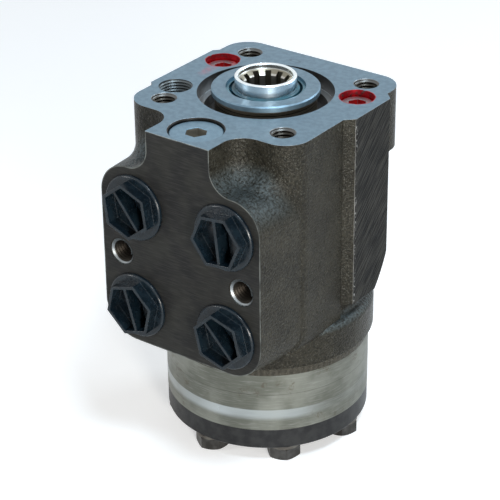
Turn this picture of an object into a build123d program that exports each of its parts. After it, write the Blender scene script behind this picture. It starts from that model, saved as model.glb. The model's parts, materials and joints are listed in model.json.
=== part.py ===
from build123d import *
import os
from math import atan2, cos, degrees, hypot, pi, radians, sin, sqrt, tan

# Hydraulic orbital steering unit, all lengths in millimetres.
# The origin is the centre of the column mounting face, +Z leaves the unit
# along the input shaft and the four ports look along -Y.

# Clearances, and how far a cutting tool runs past the face it cuts
RUN = 0.03
THREAD_FIT = 0.03
SLIP = 0.10
PLAY = 0.30
JOINT_PLAY = 0.50
OVERCUT = 1.0

# Column mounting face
MOUNT_PCD = 82.8
MOUNT_COUNT = 4
M10_R = 5.0
MOUNT_HOLE_DEPTH = 18.0
MOUNT_CHAMFER = 0.3

# Spigot that centres the steering column, and the recess around it
SPIGOT_R = 22.2
SPIGOT_H = 2.4
SPIGOT_CHAMFER = 0.5
NECK_R = 20.8
NECK_GROOVE = 0.35
RECESS_R = 28.0
LEDGE_W = 2.7
LEDGE_DEPTH = 6.3
RECESS_DEPTH = 10.7

# Cast body of the housing
HOUSING_H = 108.6
BODY_HALF_X = 41.7
BODY_HALF_Y = 40.4
BODY_CORNER_R = 11.0
HEAD_H = 26.5
HEAD_TAPER_H = 6.0
HEAD_TAPER_ANGLE = 45.0
FLANGE_LIP = 2.0
FLANGE_H = 15.0
FLANGE_ROUND = 3.0
FLANGE_COVE = 2.4
FOOT_H = 4.0
FOOT_CHAMFER = 0.4

# Port block on the front, and the cove that joins it to the wall of the body
PORT_FACE_Y = -58.6
TAB_HALF = 15.5
SHOULDER_DEPTH = 18.2
SHOULDER_FILLET_R = 10.0
SHOULDER_FLAT = 0.3
COVE_LESS = 0.5
COVE_RUN = 13.3
BLOCK_RISE = 12.1
BLOCK_DRAFT = 2.4
BLOCK_FOOT_R = 15.5
BLOCK_FOOT_BACK_R = 8.0
BLOCK_FLUSH_Y = -20.0
BLOCK_BACK_Y = -6.0

# Milled pads on the two sides
PAD_RIGHT_STEP = 3.7
PAD_RIGHT_FRONT_Y = -2.2
PAD_LEFT_STEP = 2.1
PAD_LEFT_FRONT_Y = -19.5
PAD_BACK_Y = 22.2
PAD_RISE = 25.4
PAD_CURVE_START = 48.0
PAD_CURVE_BACK = 8.5
PAD_CURVE_BULGE = 2.6

# Ports, and the bracket holes between them
PORT_X = 22.4
PORT_UPPER_DEPTH = 35.1
PORT_LOWER_RISE = 29.2
PORT_R = 10.4
PORT_BORE_DEPTH = 14.0
PORT_CHAMFER = 0.6
PASSAGE_R = 4.0
PASSAGE_SPREAD = 42.5
BRACKET_HOLE_EDGE = 9.3
BRACKET_THREAD_L = 16.0
BRACKET_CHAMFER = 1.0

# Transport plugs in the ports
PLUG_FLANGE_R = 14.0
PLUG_FLANGE_T = 1.6
PLUG_FLANGE_CHAMFER = 0.5
PLUG_HEX_AF = 20.8
PLUG_HEX_H = 4.8
PLUG_WALL = 1.3
PLUG_POCKET_DEPTH = 5.5
PLUG_SLOT_DEPTH = 9.0
PLUG_SLOT_W = 1.9
PLUG_WEB_T = 1.3
PLUG_WEB_SINK = 0.8
PLUG_SHANK_L = 12.0
PLUG_SHANK_CHAMFER = 1.0
PLUG_TURN_UPPER_RIGHT = 6.6
PLUG_TURN_UPPER_LEFT = 38.4
PLUG_TURN_LOWER_LEFT = 16.8
PLUG_TURN_LOWER_RIGHT = 43.9

# Relief valve in the tab
RELIEF_Y = -46.2
RELIEF_PLUG_R = 11.0
RELIEF_PLUG_T = 8.0
RELIEF_PLUG_SINK = 1.1
RELIEF_SOCKET_AF = 8.0
SOCKET_DEPTH = 5.0
VALVE_PLUG_CHAMFER = 0.5
RELIEF_BORE_R = 6.5
RELIEF_BORE_DEPTH = 46.0
RELIEF_SEAT_T = 6.0
RELIEF_SEAT_HOLE_R = 2.5
RELIEF_NOSE_R = 3.5
RELIEF_NOSE_L = 4.0
RELIEF_POPPET_L = 9.0
RELIEF_STEM_R = 2.4
RELIEF_STEM_L = 5.0
RELIEF_SPRING_R = 4.3
RELIEF_WIRE_R = 0.8

# Shock valves behind the red plugs, and the open auxiliary cavity
SHOCK_X = 33.7
SHOCK_Y = 15.9
SHOCK_PLUG_R = 7.15
SHOCK_PLUG_T = 8.0
SHOCK_PLUG_SINK = 2.6
SHOCK_SOCKET_AF = 7.0
SHOCK_BORE_R = 4.4
SHOCK_BORE_DEPTH = 34.0
SHOCK_DRAIN_R = 2.0
SHOCK_DRAIN_L = 8.0
SHOCK_BALL_R = 3.2
SHOCK_SPRING_R = 3.1
SHOCK_WIRE_R = 0.6
VALVE_SPRING_TURNS = 6
AUX_X = -33.1
AUX_Y = -16.9
AUX_R = 7.0
AUX_DEPTH = 14.0
AUX_DRAIN_R = 4.0
AUX_DRAIN_L = 14.0

# Rotary valve: bore with one ring groove for each port, sleeve and spool
BORE_R = 18.5
BORE_GROOVE_DEPTH = 3.0
BORE_GROOVE_W = 5.0
RING_UPPER_DROP = 9.9
RING_LOWER_DROP = 1.6
RING_STEPS = 4
SLEEVE_WALL = 4.4
SLEEVE_GROOVE_T = 0.8
SLEEVE_GROOVE_W = 4.0
SLEEVE_PORT_R = 1.6
SLEEVE_PORT_COUNT = 6
SPOOL_BORE_PLAY = 1.4
SPOOL_SLOT_W = 3.0
SPOOL_SLOT_T = 1.2
HUB_R = 12.65
HUB_RISE = 7.2
HUB_CHAMFER = 0.4
SPLINE_TEETH = 12
SPLINE_MAJOR_R = 10.4
SPLINE_MINOR_R = 8.7
SPLINE_MOUTH_STEP = 0.7
SPLINE_START = 1.8
SPLINE_L = 19.0
TWIST_LIMIT = 8.0

# Shaft seals
SEAL_SEAT_R = 16.3
SEAL_SEAT_DEPTH = 5.0
SEAL_RIM_T = 1.3
SEAL_LIP_T = 1.1
SEAL_WEB_T = 2.0
SEAL_SINK = 1.0
DUST_LIP_H = 2.4

# Thrust bearing above the sleeve
BEARING_DEPTH = 8.0
RACE_T = 1.0
ROLLER_R = 1.0
ROLLER_COUNT = 12
ROLLER_L = 3.6
CAGE_PLATE_T = 1.0

# Centring springs and cross pin
SPRING_TOP = 17.0
SPRING_H = 8.0
SPRING_SLOT_W = 6.8
LEAF_T = 0.7
LEAF_GAP = 0.1
FLAT_LEAVES = 2
BOWED_LEAVES = 2
SPRING_RING_T = 0.7
SPRING_RING_H = 10.0
PIN_R = 4.0
PIN_DEPTH = 35.0
PIN_END_GAP = 0.6
PIN_CHAMFER = 0.5

# Cardan shaft
CARDAN_HEAD_R = 8.4
CARDAN_HEAD_L = 14.0
CARDAN_NECK_L = 5.5
CARDAN_SHAFT_R = 5.6
CARDAN_TEETH = 8
CARDAN_TOOTH_H = 2.0
CARDAN_SPLINE_L = 12.0
CARDAN_CROWN = 0.4

# Gear set: fixed ring with seven lobes and a rotor with one lobe less
PLATE_T = 9.2
GEAR_W = 17.2
GEAR_R = 43.4
GEAR_LOBES = 7
GEAR_PHASE = 8.0
LOBE_EDGE = 7.7
LOBE_R = 7.5
ECCENTRICITY = 3.15
GEAR_PLAY = 0.08
ROTOR_POINTS = 96
SPACER_T = 3.0
PLATE_BORE_PLAY = 3.7
FEED_R = 2.4
FEED_EDGE = 1.2
FEED_RISE = 13.0
SLEEVE_FEED_R = 1.4

# End cover and its screws
COVER_STEP = 0.1
COVER_T = 9.5
COVER_CHAMFER = 0.8
SCREW_R = 4.0
SCREW_AF = 13.0
SCREW_HEAD_H = 5.3
SCREW_BEVEL_ANGLE = 60.0
SCREW_GRIP = 14.0
SCREW_HOLE_SPARE = 1.5
WASHER_R = 7.0
WASHER_T = 1.4
PIN_SCREW_TIP_R = 2.2
PIN_SCREW_TIP_L = 4.0
CHECK_BALL_R = 3.5
CHECK_LIFT = 1.5
CHECK_DRAIN_R = 2.2
CHECK_DRAIN_L = 6.0

# Static seals
O_RING_R = 0.65
O_RING_EDGE = 1.8
O_GROOVE_SIDE = 0.15

# Worked out from the values above
SLEEVE_R = BORE_R - RUN
SPOOL_R = SLEEVE_R - SLEEVE_WALL
SPOOL_BORE_R = CARDAN_HEAD_R + SPOOL_BORE_PLAY
SHAFT_PASSAGE_R = HUB_R + JOINT_PLAY
FLANGE_R = GEAR_R + FLANGE_LIP
WAIST_R = FLANGE_R - FLANGE_ROUND - FLANGE_COVE
BLOCK_DEPTH = HOUSING_H - BLOCK_RISE
BLOCK_FACE_HALF = BODY_HALF_X - BLOCK_DRAFT
BRACKET_HOLE_X = BLOCK_FACE_HALF - BRACKET_HOLE_EDGE
SHOULDER_R = BLOCK_FACE_HALF - TAB_HALF - SHOULDER_FILLET_R - SHOULDER_FLAT
COVE_R = SHOULDER_FILLET_R - COVE_LESS
COVE_FOOT = -SHOULDER_DEPTH - SHOULDER_R - COVE_RUN
PAD_RIGHT_X = BODY_HALF_X + PAD_RIGHT_STEP
PAD_LEFT_X = BODY_HALF_X + PAD_LEFT_STEP
PAD_DEPTH = HOUSING_H - PAD_RISE
PORT_LOWER_DEPTH = HOUSING_H - PORT_LOWER_RISE
BRACKET_HOLE_DEPTH = (PORT_UPPER_DEPTH + PORT_LOWER_DEPTH) / 2
RING_UPPER_RIGHT = PORT_UPPER_DEPTH + RING_UPPER_DROP
RING_LOWER_RIGHT = PORT_LOWER_DEPTH + RING_LOWER_DROP
RING_STEP = (RING_LOWER_RIGHT - RING_UPPER_RIGHT) / RING_STEPS
RING_UPPER_LEFT = RING_UPPER_RIGHT + RING_STEP
RING_LOWER_LEFT = RING_LOWER_RIGHT - RING_STEP
PLATE_TOP = -HOUSING_H
GEAR_TOP = PLATE_TOP - PLATE_T
COVER_TOP = GEAR_TOP - GEAR_W
COVER_BOTTOM = COVER_TOP - COVER_T
UPPER_RACE_TOP = -BEARING_DEPTH
CAGE_TOP = UPPER_RACE_TOP - RACE_T - RUN
LOWER_RACE_TOP = CAGE_TOP - 2 * ROLLER_R - RUN
SLEEVE_TOP = LOWER_RACE_TOP - RACE_T
SLEEVE_BOTTOM = PLATE_TOP + PLAY
SPRING_RING_TOP = -SPRING_TOP + (SPRING_RING_H - SPRING_H) / 2
PIN_Z = -PIN_DEPTH
FEED_Z = PLATE_TOP + FEED_RISE
ROTOR_MID_Z = GEAR_TOP - GEAR_W / 2
CARDAN_TILT = degrees(atan2(ECCENTRICITY, PIN_Z - ROTOR_MID_Z))
LOBE_CENTRE_R = GEAR_R - LOBE_EDGE
CHAMBER_R = LOBE_CENTRE_R - LOBE_R + 2 * ECCENTRICITY + SLIP
FEED_CENTRE_R = CHAMBER_R - FEED_R - FEED_EDGE
SCREW_HOLE_R = SCREW_R + PLAY
O_RING_CENTRE_R = GEAR_R - O_RING_EDGE
HALF_LOBE_STEP = 180 / GEAR_LOBES

# Place, inner ring depth and plug turn of each port
PORTS = {
    "upper_right": (PORT_X, PORT_UPPER_DEPTH, RING_UPPER_RIGHT, PLUG_TURN_UPPER_RIGHT),
    "upper_left": (-PORT_X, PORT_UPPER_DEPTH, RING_UPPER_LEFT, PLUG_TURN_UPPER_LEFT),
    "lower_left": (-PORT_X, PORT_LOWER_DEPTH, RING_LOWER_LEFT, PLUG_TURN_LOWER_LEFT),
    "lower_right": (PORT_X, PORT_LOWER_DEPTH, RING_LOWER_RIGHT, PLUG_TURN_LOWER_RIGHT),
}


# Helpers
def disc(radius, top, thickness):
    """Round plate on the main axis, from its top face down."""
    return Pos(0, 0, top - thickness / 2) * Cylinder(radius, thickness)


def tube(outer, inner, top, length):
    """Round sleeve on the main axis, from its top end down."""
    return disc(outer, top, length) - disc(inner, top, length)


def turned(outline):
    """Solid of revolution about the main axis, from a half section drawn as (r, z)."""
    return revolve(Plane.XZ * outline, Axis.Z)


def polygon(*points):
    """Flat face with straight edges."""
    return make_face(Polyline(*points, close=True))


def corners(outline, x, y):
    """Corner points of a flat outline at +x or -x, and at height y."""
    return [
        v for v in outline.vertices()
        if abs(abs(v.X) - x) < RUN and abs(v.Y - y) < RUN
    ]


def drilled(radius, depth, mouth=0.0):
    """Drill for a blind hole that opens at z = 0, with a chamfered mouth if wanted."""
    tool = disc(radius, OVERCUT, depth + OVERCUT)
    if mouth:
        tool += Cone(radius, radius + 2 * mouth, 2 * mouth)
    return tool


def hexagon(across_flats, height):
    """Hexagonal prism that stands on z = 0."""
    return extrude(RegularPolygon(across_flats / 2, 6, major_radius=False), height)


def around(count, radius, phase=0.0):
    """Locations spaced evenly about the main axis."""
    return [Rot(0, 0, phase + i * 360 / count) * Pos(radius, 0, 0) for i in range(count)]


def across(radius, length, z):
    """Round bar along X through the main axis, for cross bores and the pin."""
    return Pos(0, 0, z) * Rot(0, 90, 0) * Cylinder(radius, length)


def coil(radius, wire_r, bottom, top):
    """Compression spring on the local axis, between two faces."""
    height = top - bottom - 2 * wire_r
    path = Helix(pitch=height / VALVE_SPRING_TURNS, height=height, radius=radius)
    section = Plane(path @ 0, z_dir=path % 0) * Circle(wire_r)
    return Pos(0, 0, bottom + wire_r) * sweep(section, path, is_frenet=True)


# Housing
def head_square():
    """Square plan of the mounting head."""
    return RectangleRounded(2 * BODY_HALF_X, 2 * BODY_HALF_Y, BODY_CORNER_R)


def head():
    """Mounting head: square plate with a tapered underside."""
    plate = extrude(head_square(), -HEAD_H)
    under = extrude(
        Pos(0, 0, -HEAD_H) * head_square(), -HEAD_TAPER_H, taper=HEAD_TAPER_ANGLE
    )
    return plate + under


def upright(outline, y):
    """Stand a front outline, drawn as (x, z), in the plane at y."""
    return Plane(origin=(0, y, 0), x_dir=(1, 0, 0), z_dir=(0, -1, 0)) * outline


def foot_radius(y):
    """Radius of the block's lower edges, which are sharper towards the back."""
    share = (y - PORT_FACE_Y) / (BLOCK_BACK_Y - PORT_FACE_Y)
    return BLOCK_FOOT_R + (BLOCK_FOOT_BACK_R - BLOCK_FOOT_R) * share


def block_section(y, half_width):
    """Front outline of the port block and its tab, in the plane at y."""
    block = Pos(0, -(SHOULDER_DEPTH + BLOCK_DEPTH) / 2) * Rectangle(
        2 * half_width, BLOCK_DEPTH - SHOULDER_DEPTH
    )
    tab = Pos(0, -SHOULDER_DEPTH / 2) * Rectangle(2 * TAB_HALF, SHOULDER_DEPTH)
    outline = block + tab
    outline = fillet(corners(outline, half_width, -BLOCK_DEPTH), foot_radius(y))
    outline = fillet(corners(outline, half_width, -SHOULDER_DEPTH), SHOULDER_R)
    outline = fillet(corners(outline, TAB_HALF, -SHOULDER_DEPTH), SHOULDER_FILLET_R)
    return upright(outline, y)


def port_block():
    """Block that carries the four ports, with drafted sides, and the tab above it."""
    front = block_section(PORT_FACE_Y, BLOCK_FACE_HALF)
    flush = block_section(BLOCK_FLUSH_Y, BODY_HALF_X)
    back = block_section(BLOCK_BACK_Y, BODY_HALF_X)
    return loft([front, flush], ruled=True) + loft([flush, back], ruled=True)


def wall_section(y):
    """Front outline of the body's wall, in the plane at y."""
    outline = Pos(0, -BLOCK_DEPTH / 2) * Rectangle(2 * BODY_HALF_X, BLOCK_DEPTH)
    return upright(fillet(corners(outline, BODY_HALF_X, -BLOCK_DEPTH), foot_radius(y)), y)


def body_wall():
    """Front of the body behind the port block, with its two round corners."""
    front = Pos(0, (BLOCK_BACK_Y - BODY_HALF_Y) / 2) * Rectangle(
        2 * BODY_HALF_X, BODY_HALF_Y + BLOCK_BACK_Y
    )
    sections = [wall_section(PORT_FACE_Y), wall_section(BLOCK_BACK_Y)]
    return extrude(head_square() & front, -BLOCK_DEPTH) & loft(sections, ruled=True)


def front_half():
    """Port block and wall, joined by the cove that runs down from the tab's sides."""
    block = port_block()
    wall = body_wall()
    joined = block + wall
    upper = split(joined, Plane.XY.offset(COVE_FOOT), keep=Keep.TOP)
    lower = split(joined, Plane.XY.offset(COVE_FOOT), keep=Keep.BOTTOM)
    seam = [
        edge for edge in new_edges(block, wall, combined=upper)
        if COVE_FOOT + RUN < edge.center().Z < -RUN and edge.center().Y < BLOCK_FLUSH_Y
    ]
    return fillet(seam, COVE_R) + lower


def side_pad(half_x, front_y):
    """Flat milled pad with stepped ends and a curved lower back corner."""
    inner = BODY_HALF_X - BODY_CORNER_R
    step = half_x - BODY_HALF_X
    front = front_y - step
    back = PAD_BACK_Y + step
    plan = polygon(
        (inner, front),
        (BODY_HALF_X, front),
        (half_x, front_y),
        (half_x, PAD_BACK_Y),
        (BODY_HALF_X, back),
        (inner, back),
    )
    start = Vector(back, -PAD_CURVE_START)
    end = Vector(PAD_BACK_Y - PAD_CURVE_BACK, -PAD_DEPTH)
    middle = (start + end) / 2 + Vector(PAD_CURVE_BULGE, -PAD_CURVE_BULGE)
    side_view = make_face(
        [
            Line((front, 0), (back, 0)),
            Line((back, 0), start),
            ThreePointArc(start, middle, end),
            Line(end, (front, -PAD_DEPTH)),
            Line((front, -PAD_DEPTH), (front, 0)),
        ]
    )
    return extrude(plan, -PAD_DEPTH) & extrude(Plane.YZ * side_view, half_x)


def barrel():
    """Round lower body, with the rounded flange that meets the gear set."""
    flange_low = PLATE_TOP + FOOT_H
    flange_high = flange_low + FLANGE_H
    section = polygon(
        (0, -HEAD_H),
        (WAIST_R, -HEAD_H),
        (WAIST_R, flange_high),
        (FLANGE_R, flange_high),
        (FLANGE_R, flange_low),
        (GEAR_R, flange_low),
        (GEAR_R, PLATE_TOP),
        (0, PLATE_TOP),
    )
    section = fillet(corners(section, WAIST_R, flange_high), FLANGE_COVE)
    section = fillet(corners(section, FLANGE_R, flange_high), FLANGE_ROUND)
    section = chamfer(corners(section, FLANGE_R, flange_low), FOOT_CHAMFER)
    return turned(section)


def on_port_face(x, depth, turn=0.0):
    """Frame on the port face whose +Z leaves the housing along -Y."""
    return Pos(x, PORT_FACE_Y, -depth) * Rot(90, 0, 0) * Rot(0, 0, turn)


def port_cuts():
    """Threaded ports, bracket holes and the passages to the rings of the valve bore."""
    cuts = []
    reach = BORE_R - OVERCUT
    for x, depth, ring_depth, _ in PORTS.values():
        cuts.append(on_port_face(x, depth) * drilled(PORT_R, PORT_BORE_DEPTH, PORT_CHAMFER))
        side = x / abs(x)
        start = Vector(x, PORT_FACE_Y + PORT_BORE_DEPTH - OVERCUT, -depth)
        end = Vector(
            side * reach * sin(radians(PASSAGE_SPREAD)),
            -reach * cos(radians(PASSAGE_SPREAD)),
            -ring_depth,
        )
        run = end - start
        passage = Pos(0, 0, run.length / 2) * Cylinder(PASSAGE_R, run.length)
        cuts.append(Plane(origin=start, z_dir=run) * passage)
    for x in (BRACKET_HOLE_X, -BRACKET_HOLE_X):
        hole = drilled(M10_R, BRACKET_THREAD_L, BRACKET_CHAMFER)
        cuts.append(on_port_face(x, BRACKET_HOLE_DEPTH) * hole)
    return cuts


def mounting_face_cuts():
    """Column screw holes, and the cavities of the relief, shock and auxiliary valves."""
    hole = drilled(M10_R, MOUNT_HOLE_DEPTH, MOUNT_CHAMFER)
    cuts = [place * hole for place in around(MOUNT_COUNT, MOUNT_PCD / 2, 180 / MOUNT_COUNT)]
    relief = drilled(RELIEF_PLUG_R + THREAD_FIT, RELIEF_PLUG_SINK + RELIEF_PLUG_T,
                     VALVE_PLUG_CHAMFER)
    relief += drilled(RELIEF_BORE_R, RELIEF_BORE_DEPTH)
    cuts.append(Pos(0, RELIEF_Y, 0) * relief)
    shock = drilled(SHOCK_PLUG_R + THREAD_FIT, SHOCK_PLUG_SINK + SHOCK_PLUG_T)
    shock += drilled(SHOCK_BORE_R, SHOCK_BORE_DEPTH)
    shock += drilled(SHOCK_DRAIN_R, SHOCK_BORE_DEPTH + SHOCK_DRAIN_L)
    cuts += [Pos(x, SHOCK_Y, 0) * shock for x in (SHOCK_X, -SHOCK_X)]
    auxiliary = drilled(AUX_R, AUX_DEPTH) + drilled(AUX_DRAIN_R, AUX_DEPTH + AUX_DRAIN_L)
    cuts.append(Pos(AUX_X, AUX_Y, 0) * auxiliary)
    return cuts


def bore_cuts():
    """Bore for the rotary valve, its ring grooves, bearing pocket and seal seat."""
    cuts = [
        disc(BORE_R, UPPER_RACE_TOP, HOUSING_H - BEARING_DEPTH),
        disc(SHAFT_PASSAGE_R, SPIGOT_H, SPIGOT_H + BEARING_DEPTH),
        disc(SEAL_SEAT_R, SPIGOT_H, SPIGOT_H + SEAL_SEAT_DEPTH),
    ]
    for _, _, ring_depth, _ in PORTS.values():
        top = BORE_GROOVE_W / 2 - ring_depth
        cuts.append(disc(BORE_R + BORE_GROOVE_DEPTH, top, BORE_GROOVE_W))
    return cuts


def recess_cut():
    """Stepped ring recess around the spigot, with the fine groove under its collar."""
    ledge_r = RECESS_R - LEDGE_W
    return turned(
        polygon(
            (SPIGOT_R, 0),
            (SPIGOT_R, OVERCUT),
            (RECESS_R, OVERCUT),
            (RECESS_R, -LEDGE_DEPTH),
            (ledge_r, -LEDGE_DEPTH),
            (ledge_r, -RECESS_DEPTH),
            (NECK_R, -RECESS_DEPTH),
            (NECK_R, -NECK_GROOVE),
            (NECK_R - NECK_GROOVE, -NECK_GROOVE),
            (NECK_R - NECK_GROOVE, 0),
        )
    )


def o_ring_groove(face, up):
    """Groove for a static seal in a face, cut upwards or downwards."""
    depth = 2 * O_RING_R
    half = O_RING_R + O_GROOVE_SIDE
    top = face + depth if up else face
    return tube(O_RING_CENTRE_R + half, O_RING_CENTRE_R - half, top, depth)


def gear_end_cuts():
    """Screw holes, check valve cavity, feed passages and seal groove in the lower face."""
    cuts = [o_ring_groove(PLATE_TOP, up=True)]
    foot = Pos(0, 0, PLATE_TOP) * Rot(180, 0, 0)
    thread = SCREW_R + THREAD_FIT
    depth = SCREW_GRIP + SCREW_HOLE_SPARE
    places = around(GEAR_LOBES, LOBE_CENTRE_R, -GEAR_PHASE)
    cuts += [foot * place * drilled(thread, depth) for place in places]
    cavity_depth = depth + 2 * CHECK_BALL_R + CHECK_LIFT
    cavity = drilled(thread, cavity_depth) + drilled(CHECK_DRAIN_R, cavity_depth + CHECK_DRAIN_L)
    cuts.append(foot * places[0] * cavity)
    run_in = FEED_CENTRE_R - BORE_R + OVERCUT
    lean = degrees(atan2(run_in, FEED_RISE))
    feed = Rot(0, lean, 0) * disc(FEED_R, 0, hypot(run_in, FEED_RISE))
    for place in around(GEAR_LOBES, FEED_CENTRE_R, HALF_LOBE_STEP - GEAR_PHASE):
        cuts.append(foot * place * feed)
    return cuts


def spigot_collar():
    """Chamfered collar that stands above the mounting face."""
    collar = disc(SPIGOT_R, SPIGOT_H, SPIGOT_H)
    return chamfer(collar.edges().group_by(Axis.Z)[-1], SPIGOT_CHAMFER)


def housing():
    """One casting: head, port block, pads and barrel, then all machined cuts."""
    casting = head() + front_half() + barrel()
    casting += side_pad(PAD_RIGHT_X, PAD_RIGHT_FRONT_Y)
    casting += mirror(side_pad(PAD_LEFT_X, PAD_LEFT_FRONT_Y), Plane.YZ)
    casting -= recess_cut()
    casting += spigot_collar()
    for cut in mounting_face_cuts() + port_cuts() + bore_cuts() + gear_end_cuts():
        casting -= cut
    return casting


# Rotary valve
def spline_socket():
    """Cutting tool for the straight sided internal spline in the hub."""
    start = HUB_RISE - SPLINE_START
    gap_w = pi * (SPLINE_MAJOR_R + SPLINE_MINOR_R) / 2 / SPLINE_TEETH
    gap = Rectangle(SPLINE_MAJOR_R, gap_w)
    gaps = [place * gap for place in around(SPLINE_TEETH, SPLINE_MAJOR_R / 2)]
    outline = (Circle(SPLINE_MINOR_R) + gaps) & Circle(SPLINE_MAJOR_R)
    socket = Pos(0, 0, start - SPLINE_L) * extrude(outline, SPLINE_L)
    mouth_r = SPLINE_MAJOR_R + SPLINE_MOUTH_STEP
    lead = mouth_r - SPLINE_MINOR_R
    mouth = turned(
        polygon(
            (0, HUB_RISE),
            (mouth_r + HUB_CHAMFER, HUB_RISE),
            (mouth_r, HUB_RISE - HUB_CHAMFER),
            (mouth_r, start),
            (SPLINE_MINOR_R, start - lead),
            (0, start - lead),
        )
    )
    return socket + mouth


def spring_slot(radius):
    """Cross slot for the leaf springs, through a valve of the given radius."""
    height = SPRING_H + 2 * SLIP
    return Pos(0, 0, -SPRING_TOP - SPRING_H / 2) * Box(
        SPRING_SLOT_W, 2 * (radius + OVERCUT), height
    )


def spool():
    """Inner rotary valve with its splined hub, slots, pin window and cardan bore."""
    body = disc(SPOOL_R, SLEEVE_TOP, SLEEVE_TOP - SLEEVE_BOTTOM)
    hub = disc(HUB_R, HUB_RISE, HUB_RISE - SLEEVE_TOP)
    hub = chamfer(hub.edges().group_by(Axis.Z)[-1], HUB_CHAMFER)
    spline_end = HUB_RISE - SPLINE_START - SPLINE_L
    window_r = PIN_R + SPOOL_R * sin(radians(TWIST_LIMIT)) + PLAY
    cuts = [
        spline_socket(),
        disc(SPOOL_BORE_R, spline_end, spline_end - SLEEVE_BOTTOM),
        spring_slot(SPOOL_R),
        across(window_r, 2 * (SPOOL_R + OVERCUT), PIN_Z),
    ]
    slot_top = -RING_UPPER_LEFT
    slot = Pos(0, 0, (slot_top + FEED_Z) / 2) * Box(
        2 * SPOOL_SLOT_T, SPOOL_SLOT_W, slot_top - FEED_Z
    )
    cuts += [place * slot for place in around(SLEEVE_PORT_COUNT, SPOOL_R)]
    return body + hub - cuts


def sleeve():
    """Outer rotary valve: ring grooves, port holes, feed holes, spring slot, pin bore."""
    outside = SLEEVE_R + OVERCUT
    body = tube(SLEEVE_R, SPOOL_R + RUN, SLEEVE_TOP, SLEEVE_TOP - SLEEVE_BOTTOM)
    cuts = [
        tube(outside, SLEEVE_R - SPRING_RING_T - SLIP, SPRING_RING_TOP + SLIP,
             SPRING_RING_H + 2 * SLIP),
        spring_slot(SLEEVE_R),
        across(PIN_R + RUN, 2 * outside, PIN_Z),
    ]
    half_step = 180 / SLEEVE_PORT_COUNT
    for index, (_, _, ring_depth, _) in enumerate(PORTS.values()):
        groove_top = SLEEVE_GROOVE_W / 2 - ring_depth
        cuts.append(tube(outside, SLEEVE_R - SLEEVE_GROOVE_T, groove_top, SLEEVE_GROOVE_W))
        hole = across(SLEEVE_PORT_R, 2 * SLEEVE_WALL, -ring_depth)
        places = around(SLEEVE_PORT_COUNT, SLEEVE_R, index % 2 * half_step)
        cuts += [place * hole for place in places]
    feed = across(SLEEVE_FEED_R, 2 * SLEEVE_WALL, FEED_Z)
    cuts += [place * feed for place in around(2 * SLEEVE_PORT_COUNT, SLEEVE_R)]
    return body - cuts


def spring_ring():
    """Thin band that keeps the leaf springs in the sleeve."""
    outer = SLEEVE_R - RUN
    return tube(outer, outer - SPRING_RING_T, SPRING_RING_TOP, SPRING_RING_H)


def centring_springs():
    """Leaf spring pack: flat leaves in the middle, bowed leaves on each side."""
    reach = SLEEVE_R - RUN - SPRING_RING_T - JOINT_PLAY
    half_length = sqrt(reach ** 2 - (SPRING_SLOT_W / 2) ** 2)
    step = LEAF_T + LEAF_GAP
    bow = SPRING_SLOT_W / 2 - SLIP - (FLAT_LEAVES / 2 + BOWED_LEAVES) * step
    leaves = []
    for i in range(FLAT_LEAVES):
        x = (i - (FLAT_LEAVES - 1) / 2) * step
        leaves.append(Pos(x, 0) * Rectangle(LEAF_T, 2 * half_length))
    for i in range(BOWED_LEAVES):
        x = (FLAT_LEAVES / 2 + i) * step + LEAF_GAP / 2
        near = ThreePointArc((x + bow, -half_length), (x, 0), (x + bow, half_length))
        far = Pos(LEAF_T, 0) * near
        leaf = make_face([near, far, Line(near @ 0, far @ 0), Line(near @ 1, far @ 1)])
        leaves += [leaf, mirror(leaf, Plane.YZ)]
    return [Pos(0, 0, -SPRING_TOP - SPRING_H) * extrude(leaf, SPRING_H) for leaf in leaves]


def cross_pin():
    """Pin that joins sleeve, spool and cardan shaft."""
    pin = across(PIN_R, 2 * (SLEEVE_R - PIN_END_GAP), PIN_Z)
    return chamfer(pin.edges().filter_by(GeomType.CIRCLE), PIN_CHAMFER)


def race(top):
    """Flat hardened washer of the thrust bearing."""
    return tube(BORE_R - SLIP, SHAFT_PASSAGE_R + SLIP, top, RACE_T)


def bearing_cage():
    """Cage plate with its needle rollers."""
    middle_r = (BORE_R + SHAFT_PASSAGE_R) / 2
    middle_z = CAGE_TOP - ROLLER_R
    plate = tube(
        BORE_R - 2 * SLIP, SHAFT_PASSAGE_R + 2 * SLIP, middle_z + CAGE_PLATE_T / 2, CAGE_PLATE_T
    )
    roller = across(ROLLER_R, ROLLER_L, middle_z)
    return plate + [place * roller for place in around(ROLLER_COUNT, middle_r)]


def shaft_seal():
    """Rotary seal with a metal rim and a lip ring, open at the top."""
    outer = SEAL_SEAT_R - RUN
    inner = HUB_R + 2 * RUN
    top = SPIGOT_H - SEAL_SINK
    foot = -SEAL_SEAT_DEPTH
    lip_top = top - DUST_LIP_H - SLIP
    return turned(
        polygon(
            (outer, top),
            (outer, foot),
            (inner, foot),
            (inner, lip_top),
            (inner + SEAL_LIP_T, lip_top),
            (inner + SEAL_LIP_T, foot + SEAL_WEB_T),
            (outer - SEAL_RIM_T, foot + SEAL_WEB_T),
            (outer - SEAL_RIM_T, top),
        )
    )


def dust_seal():
    """Small wiper ring around the hub, on top of the lip of the shaft seal."""
    inner = HUB_R + 2 * RUN
    return tube(inner + SEAL_LIP_T, inner, SPIGOT_H - SEAL_SINK, DUST_LIP_H)


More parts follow.
